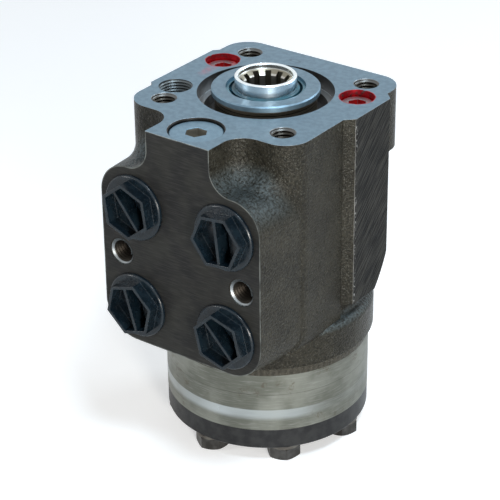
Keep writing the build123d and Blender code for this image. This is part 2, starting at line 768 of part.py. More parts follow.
# Cardan shaft and gear set
def cardan_shaft():
    """Forked head on the cross pin and a crowned spline in the rotor, on a leaning axis."""
    end_z = COVER_TOP + SPACER_T + 2 * JOINT_PLAY
    length = (PIN_Z - end_z) / cos(radians(CARDAN_TILT))
    head_top = CARDAN_HEAD_L / 2
    fork = disc(CARDAN_HEAD_R, head_top, CARDAN_HEAD_L + CARDAN_NECK_L)
    fork = chamfer(fork.edges().group_by(Axis.Z)[-1], PIN_CHAMFER)
    shaft = disc(CARDAN_SHAFT_R, 0, length)
    tip_r = CARDAN_SHAFT_R + CARDAN_TOOTH_H
    tooth_w = pi * tip_r / CARDAN_TEETH - JOINT_PLAY
    tooth = Box(2 * CARDAN_TOOTH_H, tooth_w, CARDAN_SPLINE_L)
    tooth = chamfer(tooth.edges().filter_by(Axis.Y), CARDAN_CROWN)
    tooth = Pos(0, 0, CARDAN_SPLINE_L / 2 - length) * tooth
    teeth = [place * tooth for place in around(CARDAN_TEETH, CARDAN_SHAFT_R)]
    slot_w = 2 * (PIN_R + JOINT_PLAY)
    slot_foot = -PIN_R - JOINT_PLAY
    slot = Pos(0, 0, (head_top + slot_foot + OVERCUT) / 2) * Box(
        2 * (CARDAN_HEAD_R + OVERCUT), slot_w, head_top + OVERCUT - slot_foot
    )
    lean = Rot(0, 0, GEAR_PHASE) * Rot(0, -CARDAN_TILT, 0) * Rot(0, 0, -GEAR_PHASE)
    return Pos(0, 0, PIN_Z) * lean * (fork + shaft + teeth - slot)


def rotor_outline():
    """Path of a lobe centre seen from the rotor, moved inwards by the lobe radius."""
    points = []
    for i in range(ROTOR_POINTS):
        t = 2 * pi * i / ROTOR_POINTS
        x = LOBE_CENTRE_R * cos(t) - ECCENTRICITY * cos(GEAR_LOBES * t)
        y = LOBE_CENTRE_R * sin(t) - ECCENTRICITY * sin(GEAR_LOBES * t)
        dx = -LOBE_CENTRE_R * sin(t) + GEAR_LOBES * ECCENTRICITY * sin(GEAR_LOBES * t)
        dy = LOBE_CENTRE_R * cos(t) - GEAR_LOBES * ECCENTRICITY * cos(GEAR_LOBES * t)
        inwards = (LOBE_R + GEAR_PLAY) / hypot(dx, dy)
        points.append((x - dy * inwards, y + dx * inwards))
    return make_face(Spline(*points, periodic=True))


def on_rotor_axis(turn=0.0):
    """Frame on the rotor's own axis, at its place at rest."""
    return Rot(0, 0, GEAR_PHASE) * Pos(ECCENTRICITY, 0, 0) * Rot(0, 0, turn)


def gear_rotor():
    """Lobed rotor with the internal spline that the cardan shaft drives."""
    root_r = CARDAN_SHAFT_R + JOINT_PLAY
    tip_r = root_r + CARDAN_TOOTH_H
    gap = Rectangle(tip_r, pi * tip_r / CARDAN_TEETH + JOINT_PLAY)
    gaps = [place * gap for place in around(CARDAN_TEETH, tip_r / 2, -GEAR_PHASE)]
    outline = rotor_outline() - ((Circle(root_r) + gaps) & Circle(tip_r))
    rotor = extrude(outline, GEAR_W - 2 * RUN)
    return on_rotor_axis() * Pos(0, 0, COVER_TOP + RUN) * rotor


def rotor_spacer():
    """Loose disc under the cardan shaft, carried round inside the rotor bore."""
    return on_rotor_axis() * disc(CARDAN_SHAFT_R, COVER_TOP + RUN + SPACER_T, SPACER_T)


def screw_places():
    """Screw axes, one through each lobe of the ring."""
    return around(GEAR_LOBES, LOBE_CENTRE_R, GEAR_PHASE)


def gear_ring():
    """Fixed ring with its inner lobes, a screw hole through each lobe."""
    lobes = [place * Circle(LOBE_R) for place in screw_places()]
    holes = [place * Circle(SCREW_HOLE_R) for place in screw_places()]
    outline = Circle(GEAR_R) - (Circle(CHAMBER_R) - lobes) - holes
    return Pos(0, 0, COVER_TOP) * extrude(outline, GEAR_W)


def distributor_plate():
    """Flat plate between housing and gear set, with a feed to each chamber."""
    bore_r = CARDAN_SHAFT_R + ECCENTRICITY + PLATE_BORE_PLAY
    feeds = around(GEAR_LOBES, FEED_CENTRE_R, GEAR_PHASE + HALF_LOBE_STEP)
    cuts = [Circle(bore_r)]
    cuts += [place * Circle(SCREW_HOLE_R) for place in screw_places()]
    cuts += [place * Circle(FEED_R) for place in feeds]
    plate = Pos(0, 0, GEAR_TOP) * extrude(Circle(GEAR_R) - cuts, PLATE_T)
    return plate - o_ring_groove(GEAR_TOP, up=True)


def end_cover():
    """Lower cover plate with its screw holes and seal groove."""
    plate = disc(GEAR_R - COVER_STEP, COVER_TOP, COVER_T)
    plate = chamfer(plate.edges().group_by(Axis.Z)[0], COVER_CHAMFER)
    hole = disc(SCREW_HOLE_R, COVER_TOP + OVERCUT, COVER_T + 2 * OVERCUT)
    return plate - [place * hole for place in screw_places()] - o_ring_groove(COVER_TOP, up=False)


def o_ring(face, up):
    """Static seal ring that lies in its groove."""
    z = face + O_RING_R if up else face - O_RING_R
    return Pos(0, 0, z) * Torus(O_RING_CENTRE_R, O_RING_R)


def cover_screw():
    """Hexagon screw, head down, with its head face at z = 0 and the shank upwards."""
    spread = SCREW_HEAD_H * tan(radians(SCREW_BEVEL_ANGLE))
    bevel = Cone(SCREW_AF / 2, SCREW_AF / 2 + spread, SCREW_HEAD_H)
    screw_head = hexagon(SCREW_AF, SCREW_HEAD_H) & Pos(0, 0, SCREW_HEAD_H / 2) * bevel
    shank_l = WASHER_T + COVER_T + GEAR_W + PLATE_T + SCREW_GRIP
    return Pos(0, 0, -SCREW_HEAD_H) * screw_head + disc(SCREW_R, shank_l, shank_l)


def pin_screw():
    """The screw with a thin tip that holds the check ball."""
    screw = cover_screw()
    end_z = screw.bounding_box().max.Z
    return screw - tube(SCREW_R + OVERCUT, PIN_SCREW_TIP_R, end_z, PIN_SCREW_TIP_L)


def washer():
    """Sealing washer under a screw head, from z = 0 up."""
    return tube(WASHER_R, SCREW_R + SLIP, WASHER_T, WASHER_T)


# Valves
def valve_plug(radius, thickness, across_flats, top):
    """Threaded plug with a hexagon socket, from its top face down."""
    plug = disc(radius, top, thickness)
    plug = chamfer(plug.edges().filter_by(GeomType.CIRCLE), VALVE_PLUG_CHAMFER)
    return plug - Pos(0, 0, top - SOCKET_DEPTH) * hexagon(across_flats, SOCKET_DEPTH)


def relief_parts():
    """Plug, spring, poppet and seat of the pressure relief valve."""
    plug_foot = -RELIEF_PLUG_SINK - RELIEF_PLUG_T
    seat_top = RELIEF_SEAT_T - RELIEF_BORE_DEPTH
    tip = seat_top - RELIEF_NOSE_L * RELIEF_SEAT_HOLE_R / RELIEF_NOSE_R + SLIP
    body_top = tip + RELIEF_POPPET_L
    body_r = RELIEF_BORE_R - PLAY
    poppet = turned(
        polygon(
            (0, tip),
            (RELIEF_NOSE_R, tip + RELIEF_NOSE_L),
            (body_r, tip + RELIEF_NOSE_L),
            (body_r, body_top),
            (RELIEF_STEM_R, body_top),
            (RELIEF_STEM_R, body_top + RELIEF_STEM_L),
            (0, body_top + RELIEF_STEM_L),
        )
    )
    pieces = {
        "relief_plug": valve_plug(
            RELIEF_PLUG_R, RELIEF_PLUG_T, RELIEF_SOCKET_AF, -RELIEF_PLUG_SINK
        ),
        "relief_spring": coil(RELIEF_SPRING_R, RELIEF_WIRE_R, body_top + RUN, plug_foot - RUN),
        "relief_poppet": poppet,
        "relief_seat": tube(RELIEF_BORE_R - RUN, RELIEF_SEAT_HOLE_R, seat_top, RELIEF_SEAT_T),
    }
    return {name: Pos(0, RELIEF_Y, 0) * piece for name, piece in pieces.items()}


def shock_parts(side, x):
    """Plug, spring and ball of one shock valve."""
    plug_foot = -SHOCK_PLUG_SINK - SHOCK_PLUG_T
    ball_z = -SHOCK_BORE_DEPTH + sqrt(SHOCK_BALL_R ** 2 - SHOCK_DRAIN_R ** 2) + RUN
    contact_r = SHOCK_SPRING_R - SHOCK_WIRE_R
    spring_foot = ball_z + sqrt(SHOCK_BALL_R ** 2 - contact_r ** 2) + PLAY
    pieces = {
        f"shock_plug_{side}": valve_plug(
            SHOCK_PLUG_R, SHOCK_PLUG_T, SHOCK_SOCKET_AF, -SHOCK_PLUG_SINK
        ),
        f"shock_spring_{side}": coil(SHOCK_SPRING_R, SHOCK_WIRE_R, spring_foot, plug_foot - RUN),
        f"shock_ball_{side}": Pos(0, 0, ball_z) * Sphere(SHOCK_BALL_R),
    }
    return {name: Pos(x, SHOCK_Y, 0) * piece for name, piece in pieces.items()}


def check_ball():
    """Ball of the inlet check valve, resting on the tip of the pin screw."""
    centre_z = PLATE_TOP + SCREW_GRIP + CHECK_BALL_R + RUN
    return screw_places()[0] * Pos(0, 0, centre_z) * Sphere(CHECK_BALL_R)


def port_plug():
    """Transport plug: flange, hollow hexagon head with a web in its slot, shank along -Z."""
    top = PLUG_FLANGE_T + PLUG_HEX_H
    inside = PLUG_HEX_AF - 2 * PLUG_WALL
    flange = disc(PLUG_FLANGE_R, PLUG_FLANGE_T, PLUG_FLANGE_T)
    flange = chamfer(flange.edges().group_by(Axis.Z)[-1], PLUG_FLANGE_CHAMFER)
    shank = disc(PORT_R - SLIP, 0, PLUG_SHANK_L)
    shank = chamfer(shank.edges().group_by(Axis.Z)[0], PLUG_SHANK_CHAMFER)
    pocket = Pos(0, 0, top - PLUG_POCKET_DEPTH) * hexagon(inside, PLUG_POCKET_DEPTH)
    slot = Pos(0, 0, top - PLUG_SLOT_DEPTH / 2) * Box(
        PLUG_WEB_T + 2 * PLUG_SLOT_W, inside, PLUG_SLOT_DEPTH
    )
    web = Pos(0, 0, top - PLUG_WEB_SINK - PLUG_SLOT_DEPTH / 2) * Box(
        PLUG_WEB_T, inside, PLUG_SLOT_DEPTH
    )
    return flange + hexagon(PLUG_HEX_AF, top) + shank - pocket - slot + web


# Assembly
def screw_nodes():
    """Cover screws and their washers; the pin screw is the first of them."""
    nodes = {}
    seat = Pos(0, 0, COVER_BOTTOM - WASHER_T)
    for i, place in enumerate(screw_places()):
        name = f"cover_screw_{i}" if i else "pin_screw"
        nodes[name] = seat * place * (cover_screw() if i else pin_screw())
        nodes[f"screw_washer_{i + 1}"] = seat * place * washer()
    return nodes


def all_nodes():
    """Every piece by its node name."""
    nodes = {
        "housing": housing(),
        "spool": spool(),
        "sleeve": sleeve(),
        "spring_ring": spring_ring(),
        "centring_springs": centring_springs(),
        "cross_pin": cross_pin(),
        "bearing_upper_race": race(UPPER_RACE_TOP),
        "bearing_cage": bearing_cage(),
        "bearing_lower_race": race(LOWER_RACE_TOP),
        "shaft_seal": shaft_seal(),
        "dust_seal": dust_seal(),
        "cardan_shaft": cardan_shaft(),
        "distributor_plate": distributor_plate(),
        "gear_ring": gear_ring(),
        "gear_rotor": gear_rotor(),
        "rotor_spacer": rotor_spacer(),
        "end_cover": end_cover(),
        "o_ring_housing": o_ring(PLATE_TOP, up=True),
        "o_ring_plate": o_ring(GEAR_TOP, up=True),
        "o_ring_cover": o_ring(COVER_TOP, up=False),
        "check_ball": check_ball(),
    }
    nodes.update(relief_parts())
    nodes.update(shock_parts("right", SHOCK_X))
    nodes.update(shock_parts("left", -SHOCK_X))
    nodes.update(screw_nodes())
    for name, (x, depth, _, turn) in PORTS.items():
        nodes[f"port_plug_{name}"] = on_port_face(x, depth, turn) * port_plug()
    return nodes


def export_node(name, shape):
    """Write one piece, or one group of equal pieces, to its own file."""
    solids = ShapeList(shape).solids() if isinstance(shape, list) else shape.solids()
    export_step(Compound(label=name, children=list(solids)), f"parts/{name}.step")


os.makedirs("parts", exist_ok=True)
for node_name, node_shape in all_nodes().items():
    export_node(node_name, node_shape)
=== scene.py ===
import json
import logging
import math
from dataclasses import dataclass
from enum import Enum
from typing import Union

import bpy
from mathutils import Matrix, Vector


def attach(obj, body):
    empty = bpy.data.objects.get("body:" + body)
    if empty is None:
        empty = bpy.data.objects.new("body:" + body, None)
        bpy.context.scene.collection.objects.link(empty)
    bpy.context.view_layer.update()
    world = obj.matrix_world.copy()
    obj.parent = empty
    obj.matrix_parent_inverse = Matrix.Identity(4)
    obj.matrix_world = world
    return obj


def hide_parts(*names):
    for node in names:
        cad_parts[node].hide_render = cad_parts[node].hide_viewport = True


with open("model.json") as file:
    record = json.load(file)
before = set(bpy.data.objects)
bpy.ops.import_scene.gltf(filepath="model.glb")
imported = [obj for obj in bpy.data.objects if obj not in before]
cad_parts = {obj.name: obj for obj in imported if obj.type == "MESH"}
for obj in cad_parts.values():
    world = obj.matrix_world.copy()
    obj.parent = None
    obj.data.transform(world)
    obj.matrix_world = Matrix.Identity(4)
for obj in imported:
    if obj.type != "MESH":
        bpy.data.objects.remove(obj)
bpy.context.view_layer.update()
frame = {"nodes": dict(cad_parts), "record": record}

MM = 0.001
IMAGE_SIDE = 500
SENSOR_WIDTH = 36.0

log = logging.getLogger("steering_unit")

Colour = tuple[float, float, float]
Point = tuple[float, float, float]
Pair = tuple[float, float]
SocketValue = Union["Field", float, int, Colour, Point]


class HoleWay(Enum):
    """Which way a threaded hole runs into the casting."""

    DOWN = "from the mounting face"
    BACK = "from the port face"


class Layout:
    """Places that several finishes and pieces share, in millimetres."""

    mount = 41.4 / math.sqrt(2)
    relief = (0.0, -46.2)
    shock = (33.7, 15.9)
    auxiliary = (-33.1, -16.9)
    bracket = (30.0, -57.25)
    port_face_y = -58.6


# --------------------------------------------------------------------------
# Shader maths
# --------------------------------------------------------------------------
class Field:
    """One value, vector, colour or shader in a node tree, with Python's operators."""

    def __init__(self, nodes: "Nodes", socket: bpy.types.NodeSocket) -> None:
        """Wraps an output socket of a node tree."""
        self.nodes = nodes
        self.socket = socket

    def maths(self, operation: str, *others: SocketValue) -> "Field":
        """Adds one Math node.

        Args:
            operation: the node's operation.
            others: the values after this one, in the node's order.

        Returns:
            The node's value.
        """
        inputs = dict(enumerate((self, *others)))
        return self.nodes.add("Math", {"operation": operation}, inputs)

    def __add__(self, other: SocketValue) -> "Field":
        """Sum."""
        return self.maths("ADD", other)

    __radd__ = __add__

    def __mul__(self, other: SocketValue) -> "Field":
        """Product."""
        return self.maths("MULTIPLY", other)

    __rmul__ = __mul__

    def __sub__(self, other: SocketValue) -> "Field":
        """Difference."""
        return self.maths("SUBTRACT", other)

    def __rsub__(self, other: SocketValue) -> "Field":
        """Difference from a number."""
        return self.nodes.add("Math", {"operation": "SUBTRACT"}, {0: other, 1: self})

    def __truediv__(self, other: SocketValue) -> "Field":
        """Quotient."""
        return self.maths("DIVIDE", other)

    def __abs__(self) -> "Field":
        """Size without sign."""
        return self.maths("ABSOLUTE")

    def either(self, other: SocketValue) -> "Field":
        """The larger of two values: where either mask is set."""
        return self.maths("MAXIMUM", other)

    def both(self, other: SocketValue) -> "Field":
        """The smaller of two values: where both masks are set."""
        return self.maths("MINIMUM", other)

    def ramp(self, low: float, high: float, to_low: float = 0.0, to_high: float = 1.0) -> "Field":
        """Smooth change between two values of this field.

        Args:
            low: where the change starts.
            high: where it ends.
            to_low: the result at low and before it.
            to_high: the result at high and beyond it.

        Returns:
            The eased value.
        """
        settings = {"interpolation_type": "SMOOTHSTEP", "clamp": True}
        inputs = {0: self, 1: low, 2: high, 3: to_low, 4: to_high}
        return self.nodes.add("MapRange", settings, inputs)

    def over(self, edge: float, soft: float = 0.1) -> "Field":
        """Mask that is 1 where this field is above the edge."""
        return self.ramp(edge - soft / 2, edge + soft / 2)

    def under(self, edge: float, soft: float = 0.1) -> "Field":
        """Mask that is 1 where this field is below the edge."""
        return self.ramp(edge - soft / 2, edge + soft / 2, 1.0, 0.0)

    def band(self, low: float, high: float, soft: float = 0.1) -> "Field":
        """Mask that is 1 between two edges."""
        return self.over(low, soft).both(self.under(high, soft))


class Nodes:
    """A node tree that is emptied and filled from code."""

    def __init__(self, tree: bpy.types.NodeTree) -> None:
        """Empties the tree."""
        self.tree = tree
        self.tree.nodes.clear()

    def add(
        self,
        kind: str,
        settings: dict[str, object] | None = None,
        sockets: dict[int | str, SocketValue] | None = None,
        output: int | str = 0,
    ) -> Field:
        """Adds any node.

        Args:
            kind: the node's type, without its prefix.
            settings: its properties, which are set first.
            sockets: a value or a link for each named or numbered input.
            output: the output that is wanted.

        Returns:
            That output.
        """
        node = self.tree.nodes.new("ShaderNode" + kind)
        for key, value in (settings or {}).items():
            setattr(node, key, value)
        for key, value in (sockets or {}).items():
            if isinstance(value, Field):
                self.tree.links.new(value.socket, node.inputs[key])
            else:
                node.inputs[key].default_value = value
        return Field(self, node.outputs[output])

    def close(self, kind: str, surface: Field) -> None:
        """Adds the output node and links a surface to it."""
        output = self.tree.nodes.new("ShaderNode" + kind)
        self.tree.links.new(surface.socket, output.inputs[0])

    def part(self, vector: Field, axis: str) -> Field:
        """One coordinate of a vector."""
        return self.add("SeparateXYZ", None, {0: vector}, axis)

    def scaled(self, vector: Field, scale: Point) -> Field:
        """A vector multiplied by three numbers."""
        return self.add("VectorMath", {"operation": "MULTIPLY"}, {0: vector, 1: scale})

    def vector(self, x: SocketValue, y: SocketValue, z: SocketValue) -> Field:
        """A vector of three values."""
        return self.add("CombineXYZ", None, {0: x, 1: y, 2: z})

    def span(self, across: Field, up: Field) -> Field:
        """Length of a flat vector."""
        return (across * across + up * up).maths("SQRT")

    def blend(self, mask: SocketValue, under: SocketValue, over: SocketValue) -> Field:
        """Lays one colour over another.

        Args:
            mask: where the upper colour shows.
            under: the lower colour.
            over: the upper colour.

        Returns:
            The mixed colour.
        """
        settings = {"data_type": "RGBA", "clamp_factor": True}
        sockets = {0: mask, 6: self.colour(under), 7: self.colour(over)}
        return self.add("Mix", settings, sockets, 2)

    @staticmethod
    def colour(value: SocketValue) -> SocketValue:
        """A plain colour with its alpha, or a link as it is."""
        return (*value, 1.0) if isinstance(value, tuple) else value

    def choose(self, mask: SocketValue, under: SocketValue, over: SocketValue) -> Field:
        """Mixes two numbers by a mask."""
        return self.add("Mix", {"data_type": "FLOAT"}, {0: mask, 2: under, 3: over})


class Shader(Nodes):
    """A surface material on object coordinates, measured in millimetres."""

    def __init__(self, name: str) -> None:
        """Starts a material with one Principled shader.

        Args:
            name: the material's name.
        """
        self.material = bpy.data.materials.new(name)
        self.material.use_nodes = True
        super().__init__(self.material.node_tree)
        principled = self.add("BsdfPrincipled")
        self.surface = principled.socket.node
        self.close("OutputMaterial", principled)
        here = self.add("TexCoord", output="Object")
        self.place = self.scaled(here, (1 / MM, 1 / MM, 1 / MM))
        self.x = self.part(self.place, "X")
        self.y = self.part(self.place, "Y")
        self.z = self.part(self.place, "Z")

    def reach(self, x: float = 0.0, y: float = 0.0) -> Field:
        """Distance from an upright axis."""
        return self.span(self.x - x, self.y - y)

    def noise(self, size: float, detail: float = 2.0, vector: Field | None = None) -> Field:
        """Soft noise.

        Args:
            size: the size of one blot in millimetres.
            detail: how many finer layers are added.
            vector: other coordinates than the object's own.

        Returns:
            A value about one half.
        """
        sockets = {"Vector": vector or self.place, "Scale": 1 / size, "Detail": detail}
        return self.add("TexNoise", None, sockets)

    def mottle(
        self, size: float, detail: float, spread: Pair, dark: Colour, light: Colour
    ) -> Field:
        """Two colours that change into each other in soft blots.

        Args:
            size: the size of one blot in millimetres.
            detail: how many finer layers are added.
            spread: the noise at which the dark colour ends and the light one begins.
            dark: the colour of low noise.
            light: the colour of high noise.

        Returns:
            The mottled colour.
        """
        return self.blend(self.noise(size, detail).ramp(*spread), dark, light)

    def bump(self, height: Field, depth: float, below: Field | None = None) -> Field:
        """Raises the surface by a height.

        Args:
            height: the height, about 0 to 1.
            depth: the height in millimetres where it is 1.
            below: a normal that this one is added to.

        Returns:
            The new normal.
        """
        sockets = {"Height": height, "Distance": depth * MM, "Strength": 1.0}
        if below is not None:
            sockets["Normal"] = below
        return self.add("Bump", None, sockets)

    def finish(self, **sockets: SocketValue) -> bpy.types.Material:
        """Sets the Principled shader's sockets and gives the material.

        Args:
            sockets: the socket's name with _ for a space, and its value.

        Returns:
            The finished material.
        """
        for key, value in sockets.items():
            socket = self.surface.inputs[key.replace("_", " ")]
            if isinstance(value, Field):
                self.tree.links.new(value.socket, socket)
            else:
                socket.default_value = self.colour(value)
        return self.material


@dataclass(frozen=True)
class Coat:
    """Colour and roughness of a surface whose finishes are laid on one by one."""

    colour: Field
    rough: Field

    def covered(self, mask: Field, colour: Field, rough: float) -> "Coat":
        """This coat with another finish over it where the mask is set."""
        nodes = self.colour.nodes
        return Coat(
            nodes.blend(mask, self.colour, colour), nodes.choose(mask, self.rough, rough)
        )


# --------------------------------------------------------------------------
# Finishes
# --------------------------------------------------------------------------
@dataclass(frozen=True)
class MachinedIron:
    """Milled faces of the casting: grey with faint mottling, tinted blue by a painted reflection
    of a cool sky.
    """

    # The blue in these colours is a painted reflection of a cool sky on the milled steel.
    light: Colour = (0.172, 0.272, 0.350)
    dark: Colour = (0.138, 0.222, 0.290)
    dust: Colour = (0.28, 0.33, 0.37)
    # edge: pale band along the face's rim, partly chipped metal, partly painted highlight
    edge: Colour = (0.42, 0.45, 0.47)
    stamp: Colour = (0.06, 0.08, 0.10)
    roughness: float = 0.46
    blot: float = 2.4
    grain: float = 0.55
    tool: float = 0.35
    tool_depth: float = 0.02


@dataclass(frozen=True)
class CastIron:
    """Sand cast skin: dark brown grey with a fine glossy grain, lighter specks painted in as
    glints, and a painted cool sheen where it looks up.
    """

    light: Colour = (0.032, 0.029, 0.021)
    dark: Colour = (0.019, 0.017, 0.012)
    pit: Colour = (0.004, 0.004, 0.003)
    # painted sheen: a cool reflection of the sky laid into the colour of faces that look up
    painted_sky_sheen: Colour = (0.078, 0.098, 0.104)
    # painted glint: lighter specks laid into the colour where the grain would glitter in the
    # light
    painted_glint: Colour = (0.13, 0.13, 0.11)
    foot: Colour = (0.20, 0.185, 0.15)
    roughness: float = 0.30
    spark_roughness: float = 0.26
    gloss: float = 0.13
    cloud: float = 14.0
    grain: float = 0.95
    grain_depth: float = 0.50
    wave: float = 7.0
    wave_depth: float = 0.30


@dataclass(frozen=True)
class HoleWall:
    """Inside of a drilled or threaded hole: brown, with painted shade that darkens it with depth.
    """

    chamfer: Colour = (0.24, 0.26, 0.27)
    # painted reflection: paler bluish colour laid into the auxiliary hole
    painted_reflection: Colour = (0.10, 0.12, 0.13)
    rim: Colour = (0.062, 0.058, 0.050)
    # painted shade deep in the holes
    painted_depth_shade: Colour = (0.012, 0.010, 0.008)
    depth: float = 7.0
    roughness: float = 0.42


@dataclass(frozen=True)
class PortIron:
    """Charcoal front of the port block, with a thin painted highlight along its edge."""

    light: Colour = (0.019, 0.019, 0.017)
    dark: Colour = (0.012, 0.012, 0.012)
    line: Colour = (0.050, 0.048, 0.045)
    # edge: colour of the painted highlight along the port face's outline
    edge: Colour = (0.15, 0.16, 0.15)
    roughness: float = 0.42
    cloud: float = 9.0
    line_length: float = 14.0
    edge_width: float = 0.38


@dataclass(frozen=True)
class PadIron:
    """Dark milled pads on the sides, with a paler step in front of each, its paleness partly the
    cut metal and partly painted light.
    """

    light: Colour = (0.026, 0.025, 0.022)
    dark: Colour = (0.001, 0.001, 0.001)
    # Bright specks on the pad's front edge: partly chips, partly painted glints.
    chip_and_glint: Colour = (0.30, 0.30, 0.29)
    # The step's pale colours are partly painted light from the front.
    step_light: Colour = (0.330, 0.325, 0.310)
    step_dark: Colour = (0.120, 0.118, 0.110)
    roughness: float = 0.52
    step_roughness: float = 0.36
    line: float = 0.80
    line_length: float = 16.0
    line_depth: float = 0.40
    chip_width: float = 0.9


@dataclass(frozen=True)
class TurnedIron:
    """Turned recess round the spigot, and the spigot's bronze brown neck."""

    light: Colour = (0.17, 0.17, 0.17)
    dark: Colour = (0.10, 0.10, 0.10)
    # ledge: pale colour painted on the up-facing ledge as a sky reflection
    ledge: Colour = (0.42, 0.45, 0.47)
    neck: Colour = (0.36, 0.31, 0.235)
    groove: Colour = (0.05, 0.04, 0.03)
    roughness: float = 0.34


@dataclass(frozen=True)
class RedPaint:
    """Paint over the shock valve plugs, and its thin smear."""

    light: Colour = (0.58, 0.030, 0.045)
    dark: Colour = (0.20, 0.006, 0.008)
    smear: Colour = (0.42, 0.17, 0.22)
    foot: float = -3.2


@dataclass(frozen=True)
class HousingFinish:
    """The casting's one material, laid out by place as the machining was."""

    iron: CastIron = CastIron()
    milled: MachinedIron = MachinedIron()
    hole: HoleWall = HoleWall()
    port: PortIron = PortIron()
    pad: PadIron = PadIron()
    turned: TurnedIron = TurnedIron()
    paint: RedPaint = RedPaint()

    # Places of the machining, in millimetres of the housing's own frame.
    top = (-0.12, 0.06)
    neck_r = 21.4
    neck_grooves = ((-2.2, 0.16), (-3.6, 0.12))
    recess_r = 28.0
    ledge = (-6.3, 0.15, 25.25)
    mount_hole_r = 5.35
    relief_r = 11.5
    shock_r = 7.3
    auxiliary_r = 7.1
    bracket_r = 5.6
    hole_reach = 22.0
    port_face_half = 39.3
    port_back_y = -30.0
    front_hole = (-40.0, -25.0)
    block_mid = -57.35
    block_half = 39.15
    shoulder_round = 13.5
    foot_round = 15.5
    tab_half = 15.5
    cove = (25.5, -8.2, 10.0)
    port_x = 22.4
    port_z = (-35.1, -79.4)
    port_r = 10.9
    pad_right_x = 45.4
    pad_left_x = -43.8
    pad_foot = -86.0
    step_x = (41.9, 45.5)
    step_y = -2.2
    left_step_y = -19.5
    step_foot = -83.2
    foot_z = -104.6
    foot_r = 43.4
    smear = (-32.5, 4.5)
    smear_way = (0.10, -0.99)
    smear_size = (6.5, 2.6)
    stamp = (-8.4, 32.5)
    stamp_stretch = 2.2

    def build(self) -> bpy.types.Material:
        """Builds the housing's material.

        Returns:
            The material.
        """
        s = Shader("casting")
        top = s.z.over(*self.top)
        holes = self.hole_mask(s)
        face = s.y.under(Layout.port_face_y + 0.1)
        pads = self.pad_mask(s)
        recess = s.reach().under(self.recess_r + 0.1).both(s.z.under(-0.05))
        machined = top.either(face).either(pads).either(holes).either(recess)

        coat = self.cast_skin(s)
        coat = self.lay_port_face(s, coat, face)
        coat = self.lay_pads(s, coat, pads)
        coat = self.lay_top(s, coat, top)
        coat = self.lay_recess(s, coat, recess)
        coat = self.lay_holes(s, coat, holes)
        metal = top.either(recess).either(holes) * 0.85 + 0.10
        return s.finish(
            Base_Color=self.painted(s, coat.colour),
            Roughness=coat.rough,
            Metallic=metal,
            Normal=self.relief_normal(s, machined, pads),
            Specular_IOR_Level=self.iron.gloss,
        )

    def hole_mask(self, s: Shader) -> Field:
        """All holes of the mounting face and the port face.

        Args:
            s: the housing's shader.

        Returns:
            A mask that is 1 on the walls of the holes.
        """
        ax, ay = abs(s.x), abs(s.y)
        shock_x, shock_y = Layout.shock
        bracket_x, bracket_z = Layout.bracket
        column = s.span(ax - Layout.mount, ay - Layout.mount).under(self.mount_hole_r)
        upright = column.either(s.reach(*Layout.relief).under(self.relief_r))
        upright = upright.either(s.span(ax - shock_x, s.y - shock_y).under(self.shock_r))
        upright = upright.either(s.reach(*Layout.auxiliary).under(self.auxiliary_r))
        upright = upright.both(s.z.band(-self.hole_reach, -0.05))
        level = s.span(ax - bracket_x, s.z - bracket_z).under(self.bracket_r)
        for z in self.port_z:
            level = level.either(s.span(ax - self.port_x, s.z - z).under(self.port_r))
        level = level.both(s.y.under(self.port_back_y))
        level = level.both(s.y.over(Layout.port_face_y + 0.05))
        return upright.either(level)

    def pad_mask(self, s: Shader) -> Field:
        """The milled pads on the two sides."""
        sides = s.x.over(self.pad_right_x - 0.1).either(s.x.under(self.pad_left_x + 0.1))
        return sides.both(s.z.over(self.pad_foot))

    def cast_skin(self, s: Shader) -> Coat:
        """The sand cast skin, with painted glint specks, a painted cool sky sheen where it looks
        up, and paler at the foot.

        Args:
            s: the housing's shader.

        Returns:
            The skin's colour and roughness.
        """
        iron = self.iron
        colour = s.mottle(iron.cloud, 3.0, (0.32, 0.68), iron.dark, iron.light)
        fine = s.noise(iron.grain, 3.0)
        colour = s.blend(fine.ramp(0.40, 0.56, 0.55, 0.0), colour, iron.pit)
        # Lighter specks painted into the colour as glints; they are also a little glossier.
        painted_glint = s.noise(iron.grain * 0.6, 1.0).over(0.64, 0.10)
        colour = s.blend(painted_glint * 0.45, colour, iron.painted_glint)
        # Painted cool sheen of the sky on faces that look up.
        upward = s.part(s.add("NewGeometry", output="Normal"), "Z")
        colour = s.blend(upward.ramp(0.06, 0.80) * fine.ramp(0.22, 0.80), colour, iron.painted_sky_sheen)
        foot = s.z.under(self.foot_z).both(s.reach().over(self.foot_r))
        colour = s.blend(foot * 0.5, colour, iron.foot)
        rough = s.choose(painted_glint, iron.roughness, iron.spark_roughness) + fine * 0.16 - 0.08
        return Coat(colour, rough)

    def lay_port_face(self, s: Shader, coat: Coat, mask: Field) -> Coat:
        """The smoother charcoal port face with a thin painted highlight along its edge.

        Args:
            s: the housing's shader.
            coat: the finish below.
            mask: where the port face is.

        Returns:
            The finish with the port face on it.
        """
        port = self.port
        skin = s.mottle(port.cloud, 4.0, (0.35, 0.65), port.dark, port.light)
        lines = s.noise(0.5, 1.0, s.vector(s.x / port.line_length, 0.0, s.z))
        skin = s.blend(lines.ramp(0.4, 0.75) * 0.35, skin, port.line)
        # The painted edge highlight is broken up by noise.
        highlight_breaks = s.noise(5.0, 3.0).ramp(0.40, 0.60, 0.35, 1.0)
        skin = s.blend(self.face_edge(s) * highlight_breaks, skin, port.edge)
        return coat.covered(mask, skin, port.roughness)

